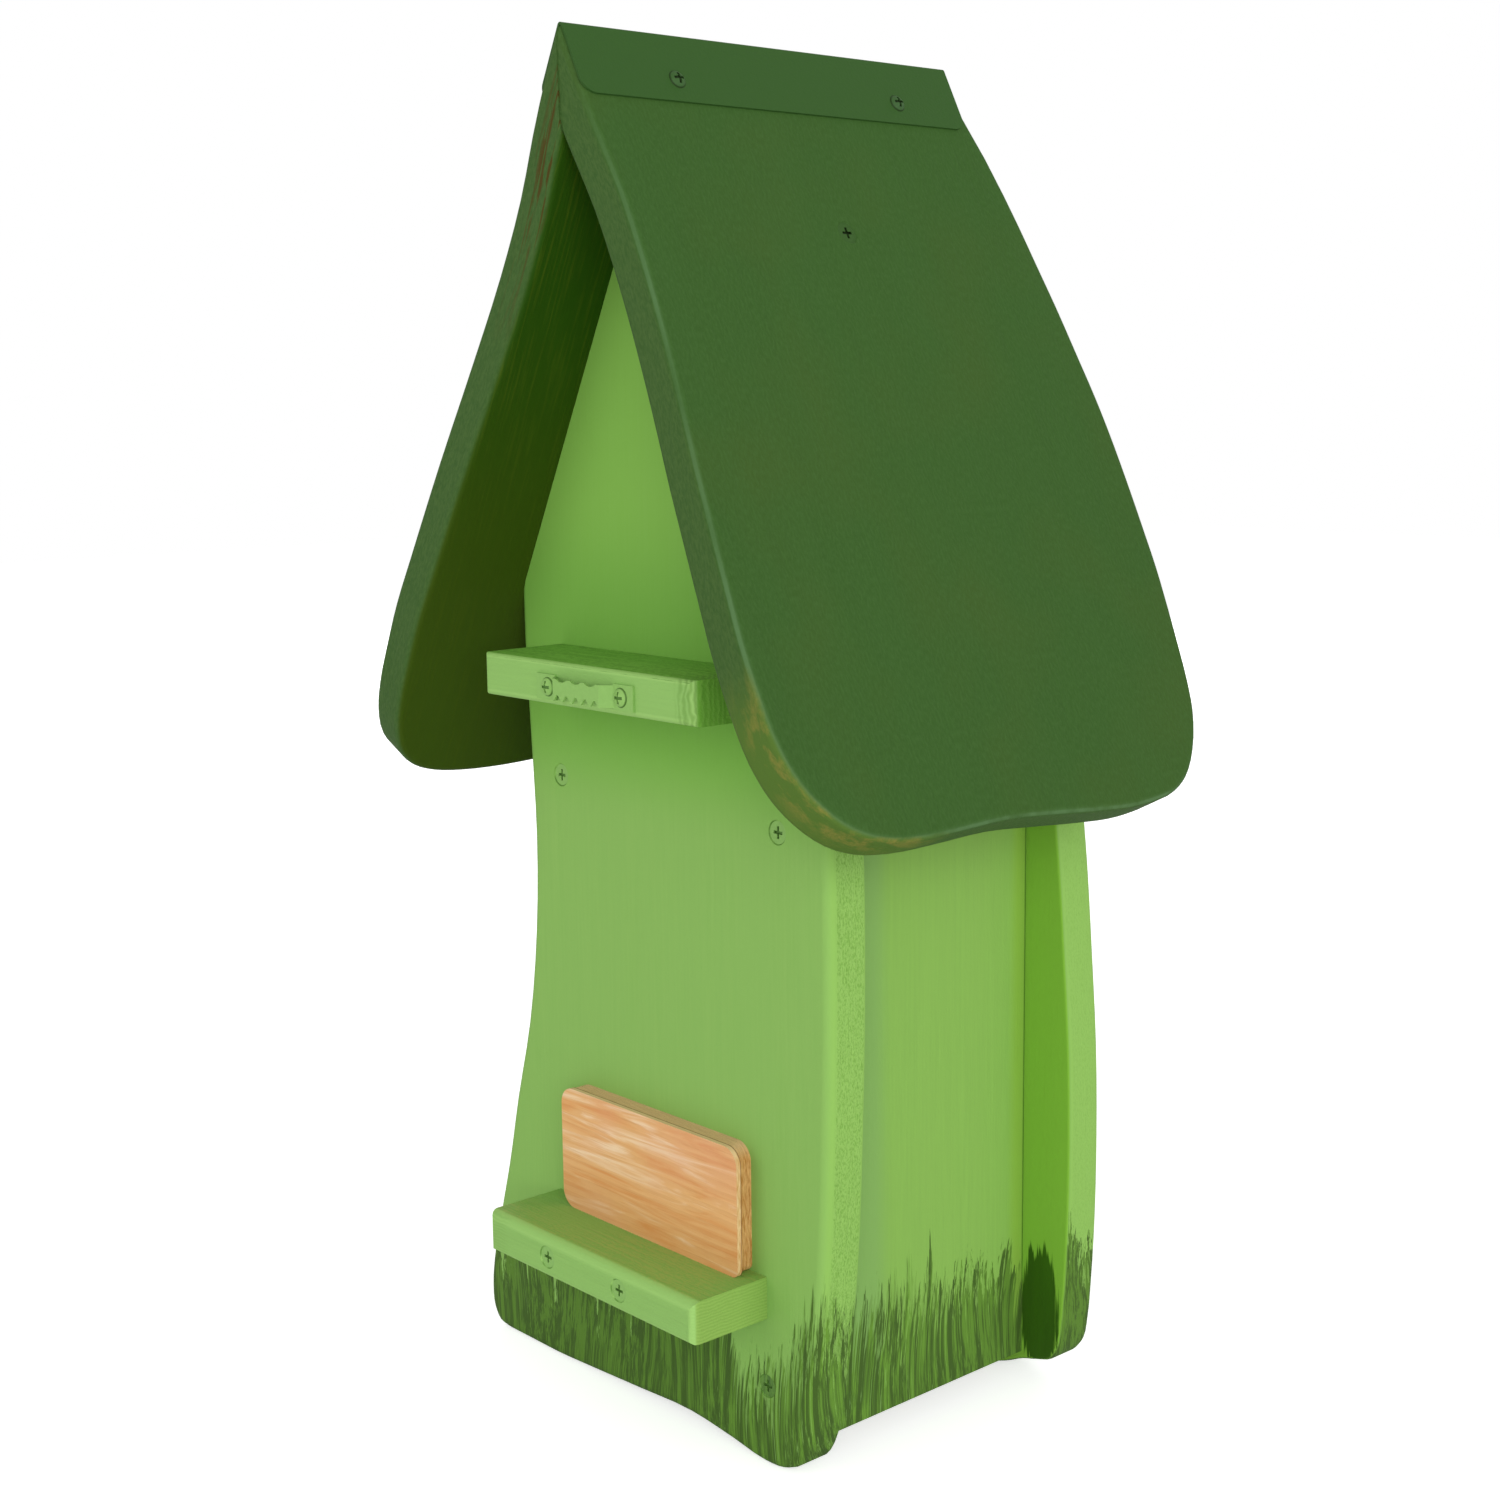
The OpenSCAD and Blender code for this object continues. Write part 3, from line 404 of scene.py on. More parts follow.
def wall_paint(node, outer_y, along, shift, tips, base, inward, bare_within, dry, arris_highlight=0.0, sawn_tone=0.0,
               hole_r=0.0, daub=0.0, tints=()):
    """Brushed light green with painted grass; the side facing inward is bare.

    Outer_y is the face's distance from y = 0. Along is the wall's direction,
    shift moves the curve of its tips, and the grass runs dry from the first to
    the second place in dry.
    """
    material, tree, place, point, axes = new_material("brushed_wall_paint_" + node)
    facing = add(tree, "ShaderNodeSeparateXYZ", {0: place.outputs["Normal"]})
    coat = add(tree, "ShaderNodeGroup", {"Point": point}, node_tree=strokes)
    wood = add(tree, "ShaderNodeGroup", {"Point": point}, node_tree=softwood)

    # Light coat: streaks and bands a few percent lighter or darker.
    tone = add(tree, "ShaderNodeMix", {0: coat.outputs["Streak"], 6: colour(base[0]), 7: colour(base[1])},
               data_type="RGBA")
    coats = []
    veil = add(tree, "ShaderNodeMapRange", {"Value": coat.outputs["Band"], "To Min": 0.0, "To Max": 0.6})
    coats.append((veil, colour(base[2])))

    # Bands by height or by facing, given per wall: painted shade, a lighter brush band and a dark seam line.
    sources = {"point": axes, "facing": facing}
    for source, axis, first, last, code in tints:
        share = add(tree, "ShaderNodeMapRange", {"Value": sources[source].outputs[axis], "From Min": first,
                    "From Max": last}, interpolation_type="SMOOTHSTEP")
        coats.append((share, colour(code)))

    # Sawn edge: a painted highlight on the rounded arris, then short rough marks along the board.
    side = add(tree, "ShaderNodeMath", {0: facing.outputs["Y"]}, operation="ABSOLUTE")
    rim = add(tree, "ShaderNodeMapRange", {"Value": side, "From Min": 0.92, "From Max": 0.35,
              "To Max": arris_highlight}, interpolation_type="SMOOTHSTEP")
    coats.append((rim, colour("#8BB958")))
    sawn = add(tree, "ShaderNodeMapRange", {"Value": side, "From Min": 0.12, "From Max": 0.03,
               "To Max": sawn_tone}, interpolation_type="SMOOTHSTEP")
    pits = add(tree, "ShaderNodeMapping", {"Vector": point, "Scale": (2.2, 2.2, 1.0)})
    pits = add(tree, "ShaderNodeTexNoise", {"Vector": pits, "Scale": 1.0, "Detail": 2.0, "Roughness": 0.7})
    pits = add(tree, "ShaderNodeMapRange", {"Value": pits, "From Min": 0.34, "From Max": 0.54})
    pits = add(tree, "ShaderNodeMix", {0: pits, 6: colour("#719F40"), 7: colour("#8DBA5B")},
               data_type="RGBA")
    coats.append((sawn, pits))

    # Grass: its upper edge is read from the curve at the place along the wall.
    across = add(tree, "ShaderNodeVectorMath", {0: point, 1: along}, operation="DOT_PRODUCT")
    share = add(tree, "ShaderNodeMapRange", {"Value": across.outputs["Value"],
                "From Min": -reach - shift, "From Max": reach - shift})
    tuft = add(tree, "ShaderNodeFloatCurve", {"Value": share})
    curve = tuft.mapping.curves[0]
    spots = sorted(tips)
    curve.points[0].location = (0, spots[0][1] / tallest)
    curve.points[1].location = (1, spots[-1][1] / tallest)
    for spot, height in spots:
        curve.points.new((spot + reach) / (2 * reach), height / tallest)
    for knot in curve.points:
        knot.handle_type = "VECTOR"
    tuft.mapping.update()
    edge = add(tree, "ShaderNodeMath", {0: tuft, 1: tallest}, operation="MULTIPLY")
    thirst = add(tree, "ShaderNodeMapRange", {"Value": across.outputs["Value"], "From Min": dry[0] - shift,
                 "From Max": dry[1] - shift})
    unrolled = add(tree, "ShaderNodeCombineXYZ", {0: across.outputs["Value"], 2: axes.outputs["Z"]})
    blades = add(tree, "ShaderNodeGroup", {"Point": unrolled, "Height": axes.outputs["Z"], "Edge": edge,
                 "Dry": thirst}, node_tree=grass)
    solid = add(tree, "ShaderNodeMapRange", {"Value": thirst, "To Min": 0.4, "To Max": 0.0})
    solid = add(tree, "ShaderNodeMath", {0: blades.outputs["Deep"], 1: solid}, operation="MAXIMUM")
    dark = add(tree, "ShaderNodeMix", {0: solid, 6: colour("#669232"), 7: colour("#405D20")},
               data_type="RGBA")
    strip = add(tree, "ShaderNodeMapRange", {"Value": facing.outputs["Y"], "From Min": 0.6, "From Max": 0.9,
                "To Max": daub})
    grown = add(tree, "ShaderNodeMath", {0: 1.0, 1: strip}, operation="SUBTRACT")
    grown = add(tree, "ShaderNodeMath", {0: blades.outputs["Paint"], 1: grown}, operation="MULTIPLY")
    coats.append((grown, dark))

    # The strip that faces the rear gets one full brush, from 5 to 50 mm up.
    middle = add(tree, "ShaderNodeMath", {0: axes.outputs["X"]}, operation="ABSOLUTE")
    patch = add(tree, "ShaderNodeCombineXYZ", {0: middle, 2: axes.outputs["Z"]})
    patch = add(tree, "ShaderNodeMapping", {"Vector": patch, "Location": (-9.3, 0, -1.4),
                "Scale": (0.134, 0, 0.05)})
    patch = add(tree, "ShaderNodeVectorMath", {0: patch}, operation="LENGTH")
    ragged = add(tree, "ShaderNodeMath", {0: coat.outputs["Streak"], 1: -0.5, 2: patch.outputs["Value"]},
                 operation="MULTIPLY_ADD")
    patch = add(tree, "ShaderNodeMapRange", {"Value": ragged, "From Min": 0.95, "From Max": 0.85})
    patch = add(tree, "ShaderNodeMath", {0: patch, 1: strip}, operation="MULTIPLY")
    wet = add(tree, "ShaderNodeMix", {0: coat.outputs["Band"], 6: colour("#284B03"), 7: colour("#386507")},
              data_type="RGBA")
    coats.append((patch, wet))

    # Painted shade in the narrow cone round each sunk screw head.
    depth = add(tree, "ShaderNodeMath", {0: axes.outputs["Y"]}, operation="ABSOLUTE")
    shade_patches = hole_shade(tree, point, depth, side, outer_y, 0.25)
    coats.append((shade_patches, colour("#4A7428")))

    # Bare wood inside the chamber and round the entrance.
    timber = add(tree, "ShaderNodeMix", {0: wood.outputs["Rings"], 6: colour("#D9B483"),
                 7: colour("#B98A54")}, data_type="RGBA")
    timber = add(tree, "ShaderNodeMix", {0: wood.outputs["Fibre"], 6: timber, 7: colour("#CBA06A")},
                 data_type="RGBA")
    inner = add(tree, "ShaderNodeVectorMath", {0: place.outputs["Normal"], 1: inward},
                operation="DOT_PRODUCT")
    inner = add(tree, "ShaderNodeMath", {0: inner.outputs["Value"], 1: 0.5}, operation="GREATER_THAN")
    within = add(tree, "ShaderNodeMath", {0: middle, 1: bare_within}, operation="LESS_THAN")
    bare = add(tree, "ShaderNodeMath", {0: inner, 1: within}, operation="MULTIPLY")
    spoke = add(tree, "ShaderNodeVectorMath", {0: point, 1: (1.0, 0.0, 1.0)}, operation="MULTIPLY")
    spoke = add(tree, "ShaderNodeVectorMath", {0: spoke, 1: (0.0, 0.0, entrance_z)}, operation="DISTANCE")
    hole = add(tree, "ShaderNodeMath", {0: spoke.outputs["Value"], 1: hole_r}, operation="LESS_THAN")
    bare = add(tree, "ShaderNodeMath", {0: bare, 1: hole}, operation="MAXIMUM")
    coats.append((bare, timber))

    relief = add(tree, "ShaderNodeMath", {0: coat.outputs["Speck"], 1: coat.outputs["Streak"]})
    rough_rim = add(tree, "ShaderNodeMath", {0: sawn, 1: 1.5, 2: 0.5}, operation="MULTIPLY_ADD")
    relief = add(tree, "ShaderNodeMath", {0: relief, 1: rough_rim}, operation="MULTIPLY")
    dress([node], material, tone, coats, (relief, 0.5, 0.00012), (coat.outputs["Streak"], 0.66, 0.82), 0.2)


board_green = ("#85B357", "#8BB75D", "#87B45A")
wall_green = ("#7FAB4D", "#86B352", "#83AE50")
# A side wall has no screws in its face, so that face is said to be far away.
far = 400.0
# On the back board the bands by height are painted shade: darker from 200 mm up, under the upper batten and the
# roof, and a little lighter again from 272 mm up.
wall_paint("back_board", 52.4, (1, 1, 0), -52.4, back_tips, board_green, inward=(0, -1, 0), bare_within=45.6,
           dry=(0, -45), arris_highlight=1.0, sawn_tone=1.0, tints=(
    ("point", "Z", 200, 232, "#79B048"),
    ("point", "Z", 272, 310, "#84B94F"),
))
# On the front board, the strip facing the rear beside the side walls gets a more saturated green by facing:
# painted shade and green bounce light in that corner.
wall_paint("front_board", 71.6, (1, 1, 0), 55.6, front_tips, board_green, inward=(0, 1, 0), bare_within=45.6,
           dry=(300, 400), arris_highlight=1.0, sawn_tone=0.3, hole_r=16.4, daub=1.0, tints=(
    ("facing", "Y", 0.6, 0.9, "#83B93C"),
))
# On the left wall, the band from y = 8 mm on is painted shade beside the back board; the lighter band near y =
# -50 mm is a brush band, and the last one is a dark line at the seam with the front board.
wall_paint("side_wall_left", far, (0, 1, 0), 0, left_tips, wall_green, inward=(1, 0, 0), bare_within=61,
           dry=(-60, 10), tints=(
    ("point", "Y", 8, 17, "#7EA858"),
    ("point", "Y", -46.5, -52.0, "#86B142"),
    ("point", "Y", -54.7, -55.4, "#4C7A1E"),
))
wall_paint("side_wall_right", far, (0, 1, 0), 0, right_tips, wall_green, inward=(-1, 0, 0), bare_within=61,
           dry=(-60, 10))

# %% [markdown]
# ## Roof paint
#
# The roof panels are dark green. Their patterns are measured on the slope: s
# runs down it from the ridge, y along the ridge, and w out of the panel, with
# the outer face at w = 0 and the inner face at w = -15. That is a turn of 63
# degrees and a shift, so a Mapping node does it, mirrored for the left panel.
# Along the outer arrises a thin lighter line is painted, partly a highlight and
# partly the coat rubbed thin. The inner faces get a darker, more saturated green
# that is partly painted shade. The left panel's rear lower arris is worn down to
# the wood, and at the top of the right panel's rear edge brown grain comes
# through.

# %% Roof paint
slope = {"Rotation": (0, math.radians(-63), 0), "Location": (400.06, 0, -203.84)}


def roof_paint(node, side, worn, grain):
    """Dark green for one panel; side is -1 or 1, worn and grain switch its two bare places on."""
    material, tree, _, point, axes = new_material("worn_roof_paint_" + node, (side, 1, 1), **slope)
    brush = add(tree, "ShaderNodeCombineXYZ", {0: axes.outputs["Y"], 1: axes.outputs["Z"],
                2: axes.outputs["X"]})
    coat = add(tree, "ShaderNodeGroup", {"Point": brush}, node_tree=strokes)

    # Outer face: streaks down the slope and a faint brown tint in places.
    tone = add(tree, "ShaderNodeMix", {0: coat.outputs["Streak"], 6: colour("#335420"), 7: colour("#385A25")},
               data_type="RGBA")
    coats = []
    tint = add(tree, "ShaderNodeMapRange", {"Value": coat.outputs["Blotch"], "From Min": 0.4,
               "To Max": 0.55})
    coats.append((tint, colour("#3F5722")))
    band = add(tree, "ShaderNodeMapRange", {"Value": coat.outputs["Band"], "From Min": 0.3, "To Max": 0.15})
    coats.append((band, colour("#3A5F2A")))
    fine = add(tree, "ShaderNodeMapRange", {"Value": coat.outputs["Speck"], "From Min": 0.3, "From Max": 0.9,
               "To Max": 0.45})
    coats.append((fine, colour("#426530")))

    # Edges: a little lighter and greyer, with sawn specks.
    flank = add(tree, "ShaderNodeMapRange", {"Value": axes.outputs["Z"], "From Min": -0.9, "From Max": -2.6},
                interpolation_type="SMOOTHSTEP")
    fleck = add(tree, "ShaderNodeMapRange", {"Value": coat.outputs["Speck"], "From Min": 0.2,
                "From Max": 0.8})
    fleck = add(tree, "ShaderNodeMix", {0: fleck, 6: colour("#3A5928"), 7: colour("#45622F")},
                data_type="RGBA")
    coats.append((flank, fleck))

    # Outer arris: a thin, broken, lighter line 0.9 mm in from the face, partly a painted highlight and partly
    # the coat rubbed thin.
    away = add(tree, "ShaderNodeMath", {0: axes.outputs["Z"], 1: 0.9})
    away = add(tree, "ShaderNodeMath", {0: away}, operation="ABSOLUTE")
    line = add(tree, "ShaderNodeMapRange", {"Value": away, "From Min": 0.8, "From Max": 0.2},
               interpolation_type="SMOOTHSTEP")
    broken = add(tree, "ShaderNodeMapRange", {"Value": coat.outputs["Band"], "From Min": 0.0, "From Max": 0.6,
                 "To Min": 0.1, "To Max": 1.0})
    fade = add(tree, "ShaderNodeMapRange", {"Value": axes.outputs["X"], "From Min": 20.0, "From Max": 90.0,
               "To Min": 0.05, "To Max": 0.55})
    line = add(tree, "ShaderNodeMath", {0: line, 1: broken}, operation="MULTIPLY")
    line = add(tree, "ShaderNodeMath", {0: line, 1: fade}, operation="MULTIPLY")
    coats.append((line, colour("#5E7F54")))

    # Inner face: a darker, more saturated and yellower green, partly painted shade, with thin brown-green
    # streaks.
    inside = add(tree, "ShaderNodeMapRange", {"Value": axes.outputs["Z"], "From Min": -13.6,
                 "From Max": -14.8}, interpolation_type="SMOOTHSTEP")
    lit = add(tree, "ShaderNodeMapRange", {"Value": coat.outputs["Streak"], "From Min": 0.5, "From Max": 1.0,
              "To Max": 0.7})
    deep = add(tree, "ShaderNodeMix", {0: lit, 6: colour("#274C05"), 7: colour("#4A6010")},
               data_type="RGBA")
    worn_in = add(tree, "ShaderNodeMapRange", {"Value": axes.outputs["X"], "From Min": 70.0,
                  "From Max": 190.0, "To Max": 0.75}, interpolation_type="SMOOTHSTEP")
    deep = add(tree, "ShaderNodeMix", {0: worn_in, 6: deep, 7: colour("#3E500B")}, data_type="RGBA")
    coats.append((inside, deep))

    # Worn arris: patches of brown wood round s = 248, y = 82.
    flat = add(tree, "ShaderNodeVectorMath", {0: point, 1: (1.0, 1.0, 0.0)}, operation="MULTIPLY")
    near = add(tree, "ShaderNodeVectorMath", {0: flat, 1: (248.0, 82.0, 0.0)}, operation="DISTANCE")
    near = add(tree, "ShaderNodeMapRange", {"Value": near.outputs["Value"], "From Min": 50.0,
               "From Max": 26.0, "To Max": worn}, interpolation_type="SMOOTHSTEP")
    edge_only = add(tree, "ShaderNodeMapRange", {"Value": axes.outputs["Z"], "From Min": -0.3,
                    "From Max": -1.2})
    olive = add(tree, "ShaderNodeMath", {0: near, 1: edge_only}, operation="MULTIPLY")
    coats.append((olive, colour("#506D2A")))
    high = add(tree, "ShaderNodeMapRange", {"Value": axes.outputs["Z"], "From Min": -12.0, "From Max": -5.0,
               "To Min": 0.1, "To Max": 0.7}, interpolation_type="SMOOTHSTEP")
    patch = add(tree, "ShaderNodeMapping", {"Vector": point, "Scale": (0.1, 0.1, 0.2)})
    patch = add(tree, "ShaderNodeTexNoise", {"Vector": patch, "Scale": 1.0, "Detail": 4.0,
                "Roughness": 0.62})
    patch = add(tree, "ShaderNodeMapRange", {"Value": patch, "From Min": 0.47, "From Max": 0.6})
    rubbed = add(tree, "ShaderNodeMath", {0: olive, 1: patch}, operation="MULTIPLY")
    rubbed = add(tree, "ShaderNodeMath", {0: rubbed, 1: high}, operation="MULTIPLY")
    brown = add(tree, "ShaderNodeMix", {0: coat.outputs["Speck"], 6: colour("#6A7530"), 7: colour("#8C803C")},
                data_type="RGBA")
    coats.append((rubbed, brown))

    # Brown grain: thin lines that run down the slope on the upper rear edge.
    vein = add(tree, "ShaderNodeMapping", {"Vector": point, "Scale": (0.034, 0.5, 0.8),
               "Rotation": (0, 0.06, 0), "Location": (0, 7, 3)})
    vein = add(tree, "ShaderNodeTexNoise", {"Vector": vein, "Scale": 1.0, "Detail": 3.0, "Roughness": 0.55})
    vein = add(tree, "ShaderNodeMapRange", {"Value": vein, "From Min": 0.52, "From Max": 0.57})
    upper = add(tree, "ShaderNodeMapRange", {"Value": axes.outputs["X"], "From Min": 100.0, "From Max": 50.0,
                "To Max": grain})
    lower = add(tree, "ShaderNodeMapRange", {"Value": axes.outputs["Z"], "From Min": -4.0,
                "From Max": -8.0})
    outside = add(tree, "ShaderNodeMath", {0: 1.0, 1: inside}, operation="SUBTRACT")
    for share in (upper, lower, outside):
        vein = add(tree, "ShaderNodeMath", {0: vein, 1: share}, operation="MULTIPLY")
    coats.append((vein, colour("#4A3A10")))

    relief = add(tree, "ShaderNodeMath", {0: coat.outputs["Speck"], 1: coat.outputs["Streak"]})
    dress([node], material, tone, coats, (relief, 0.4, 0.00012), (coat.outputs["Streak"], 0.62, 0.78), 0.1)


roof_paint("roof_panel_left", -1, worn=1.0, grain=0.0)
roof_paint("roof_panel_right", 1, worn=0.0, grain=0.9)

# %% [markdown]
# ## Ridge cap and its screws
#
# The cap is thin sheet, painted over together with the roof, so the coat is
# the same green but smoother: soft brush bands along the ridge, tiny paint
# grains and no wood fibres. The cap and roof screws carry the same paint.
# Both legs share one set of slope places, because the x value is taken
# without its sign. Painted shade darkens the crosses below the heads' tops:
# 1.6 mm above the roof for the pan heads, 0.35 mm under it for the rest. It
# also darkens the foot of the cap's pan heads.

# %% Cap and roof screw paint
# A height or depth that no point reaches switches a dark place off.
off = -50.0


def near_pan_heads(tree, across, level, middle, out, height, within):
    """Share that is 1 near two axes, which stand out to both sides of a middle at a height."""
    across = add(tree, "ShaderNodeMath", {0: across, 1: middle}, operation="SUBTRACT")
    across = add(tree, "ShaderNodeMath", {0: across}, operation="ABSOLUTE")
    axis = add(tree, "ShaderNodeCombineXYZ", {0: across, 1: level})
    axis = add(tree, "ShaderNodeVectorMath", {0: axis, 1: (out, height, 0.0)}, operation="DISTANCE")
    return add(tree, "ShaderNodeMath", {0: axis.outputs["Value"], 1: within}, operation="LESS_THAN")


def slope_metal(name, node, codes, dark, gloss, dark_r=far, rim_to=off):
    """Green paint on metal on the slope.

    It gets painted shade between the two heights in dark, within dark_r of the pan
    heads' axes, and everywhere under rim_to.
    """
    material, tree, _, _, parts = new_material(name)
    folded = add(tree, "ShaderNodeMath", {0: parts.outputs["X"]}, operation="ABSOLUTE")
    folded = add(tree, "ShaderNodeCombineXYZ", {0: folded, 1: parts.outputs["Y"], 2: parts.outputs["Z"]})
    point = add(tree, "ShaderNodeMapping", {"Vector": folded, **slope})
    axes = add(tree, "ShaderNodeSeparateXYZ", {0: point})
    brush = add(tree, "ShaderNodeCombineXYZ", {0: axes.outputs["X"], 1: axes.outputs["Z"],
                2: axes.outputs["Y"]})
    coat = add(tree, "ShaderNodeGroup", {"Point": brush}, node_tree=strokes)
    grains = add(tree, "ShaderNodeTexNoise", {"Vector": point, "Scale": 0.9, "Detail": 3.0,
                 "Roughness": 0.6})
    tone = add(tree, "ShaderNodeMix", {0: grains, 6: colour(codes[0]), 7: colour(codes[1])},
               data_type="RGBA")
    coats = []
    coats.append((coat.outputs["Band"], colour(codes[2])))
    # Painted shade in the crosses of the screw heads.
    pit = add(tree, "ShaderNodeMapRange", {"Value": axes.outputs["Z"], "From Min": dark[0],
              "From Max": dark[1]})
    # The cap's pan heads stand 47.65 mm to both sides of y = -0.95, at s = 16.
    near = near_pan_heads(tree, axes.outputs["Y"], axes.outputs["X"], -0.95, 47.65, 16.0, dark_r)
    pit = add(tree, "ShaderNodeMath", {0: pit, 1: near}, operation="MULTIPLY")
    coats.append((pit, colour("#1C2C12")))
    # Painted shade round the foot of the pan heads.
    rim = add(tree, "ShaderNodeMapRange", {"Value": axes.outputs["Z"], "From Min": rim_to + 0.2,
              "From Max": rim_to})
    coats.append((rim, colour("#223A14")))
    dress([node], material, tone, coats, (grains, 0.3, 0.0002), (grains, *gloss), 0.12)


slope_metal("painted_sheet_cap", "ridge_cap", ("#2C4E1D", "#365A24", "#315421"),
            dark=(-0.2, -0.6), gloss=(0.5, 0.66), dark_r=0.0)
slope_metal("painted_steel_cap_screws", "ridge_cap_screws", ("#33532A", "#41603A", "#395A2C"),
            dark=(1.75, 1.5), gloss=(0.45, 0.6), dark_r=2.0, rim_to=1.1)
slope_metal("painted_steel_roof_screws", "roof_screws", ("#31511F", "#3A5B28", "#345522"),
            dark=(-0.5, -0.8), gloss=(0.5, 0.65))

# %% [markdown]
# ## Battens
#
# The battens are strips of softwood with the same light green on them. Their
# grain runs along X. The top has its own olive green by facing, partly a tint
# and partly painted shade, as the tops lie under the roof. The rear arrises get
# a painted highlight, the sawn ends show fine lines across, and the upper
# batten's ends are a darker green, which is painted shade of the roof.

# %% Batten paint
def batten_paint(node, face_y, top_codes, end_codes, corner_tone, saw_scale, saw_warp, saw_along, saw_cut):
    """Light green along X for one batten, with saw lines across saw_along."""
    material, tree, place, point, axes = new_material("brushed_batten_paint_" + node)
    facing = add(tree, "ShaderNodeSeparateXYZ", {0: place.outputs["Normal"]})
    brush = add(tree, "ShaderNodeCombineXYZ", {0: axes.outputs["Y"], 1: axes.outputs["Z"],
                2: axes.outputs["X"]})
    coat = add(tree, "ShaderNodeGroup", {"Point": brush}, node_tree=strokes)
    tone = add(tree, "ShaderNodeMix", {0: coat.outputs["Streak"], 6: colour("#87B45D"), 7: colour("#91BE66")},
               data_type="RGBA")
    coats = []
    coats.append((coat.outputs["Band"], colour("#8DBB64")))

    # Top: its own olive green by facing, partly a tint and partly painted shade, patchy and streaky.
    up = add(tree, "ShaderNodeMapRange", {"Value": facing.outputs["Z"], "From Min": 0.72, "From Max": 0.98},
             interpolation_type="SMOOTHSTEP")
    thin_coat = add(tree, "ShaderNodeMapRange", {"Value": coat.outputs["Blotch"], "From Min": 0.25,
                    "From Max": 0.8})
    top = add(tree, "ShaderNodeMix", {0: thin_coat, 6: colour(top_codes[0]), 7: colour(top_codes[1])},
              data_type="RGBA")
    rubs = add(tree, "ShaderNodeMath", {0: coat.outputs["Streak"], 1: coat.outputs["Speck"]})
    rubs = add(tree, "ShaderNodeMapRange", {"Value": rubs, "From Min": 0.8, "From Max": 1.25})
    top = add(tree, "ShaderNodeMix", {0: rubs, 6: top, 7: colour(top_codes[2])}, data_type="RGBA")
    coats.append((up, top))

    # Rounded rear corners and arrises are a little paler: a painted highlight.
    leaving = add(tree, "ShaderNodeMapRange", {"Value": facing.outputs["Y"], "From Min": 0.99,
                  "From Max": 0.93})
    arriving = add(tree, "ShaderNodeMapRange", {"Value": facing.outputs["Y"], "From Min": 0.08,
                   "From Max": 0.3, "To Max": 0.75})
    pale = add(tree, "ShaderNodeMath", {0: leaving, 1: arriving}, operation="MULTIPLY")
    coats.append((pale, colour("#9ECB70")))

    # Ends: fine saw lines, which also show faintly on the rounded corners.
    end = add(tree, "ShaderNodeMath", {0: facing.outputs["X"]}, operation="ABSOLUTE")
    spread = add(tree, "ShaderNodeMath", {0: axes.outputs["X"]}, operation="ABSOLUTE")
    corner = add(tree, "ShaderNodeMapRange", {"Value": spread, "From Min": 47.0, "From Max": 50.5,
                 "To Max": corner_tone})
    end = add(tree, "ShaderNodeMapRange", {"Value": end, "From Min": 0.8, "From Max": 0.97},
              interpolation_type="SMOOTHSTEP")
    saw = add(tree, "ShaderNodeMapping", {"Vector": point, "Rotation": (0, 0, math.radians(-45))})
    saw = add(tree, "ShaderNodeTexWave", {"Vector": saw, "Scale": saw_scale, "Distortion": saw_warp,
              "Detail": 2.0,
              "Detail Scale": 0.7, "Detail Roughness": 0.6}, wave_type="BANDS", bands_direction=saw_along)
    grooves = add(tree, "ShaderNodeMath", {0: saw, 1: corner}, operation="MULTIPLY")
    coats.append((grooves, colour("#6D9A42")))
    ends = add(tree, "ShaderNodeMix", {0: saw, 6: colour(end_codes[0]), 7: colour(end_codes[1])},
               data_type="RGBA")
    coats.append((end, ends))

    # Painted shade round the sunk screw heads.
    shade_patches = hole_shade(tree, point, axes.outputs["Y"], facing.outputs["Y"], face_y, 0.3)
    coats.append((shade_patches, colour("#568232")))

    relief = add(tree, "ShaderNodeMath", {0: coat.outputs["Speck"], 1: coat.outputs["Streak"]})
    deepest = add(tree, "ShaderNodeMath", {0: end, 1: corner}, operation="MAXIMUM")
    deepest = add(tree, "ShaderNodeMath", {0: deepest, 1: saw_cut}, operation="MULTIPLY")
    cut = add(tree, "ShaderNodeMath", {0: saw, 1: deepest, 2: relief}, operation="MULTIPLY_ADD")
    dress([node], material, tone, coats, (cut, 0.5, 0.00014), (coat.outputs["Streak"], 0.62, 0.8), 0.2)


# The upper batten's top and end greens are darker and more saturated than the lower one's: painted shade of the
# roof.
batten_paint("upper_batten", 84.7, ("#7EB84A", "#84BD4E", "#6FA63C"), ("#6CAA39", "#78B344"),
             corner_tone=0.6, saw_scale=0.2, saw_warp=9.0, saw_along="X", saw_cut=0.8)
batten_paint("lower_batten", 83.4, ("#96B257", "#82B356", "#86B254"), ("#82A84C", "#8CB254"),
             corner_tone=0.2, saw_scale=0.3, saw_warp=4.0, saw_along="Z", saw_cut=0.3)
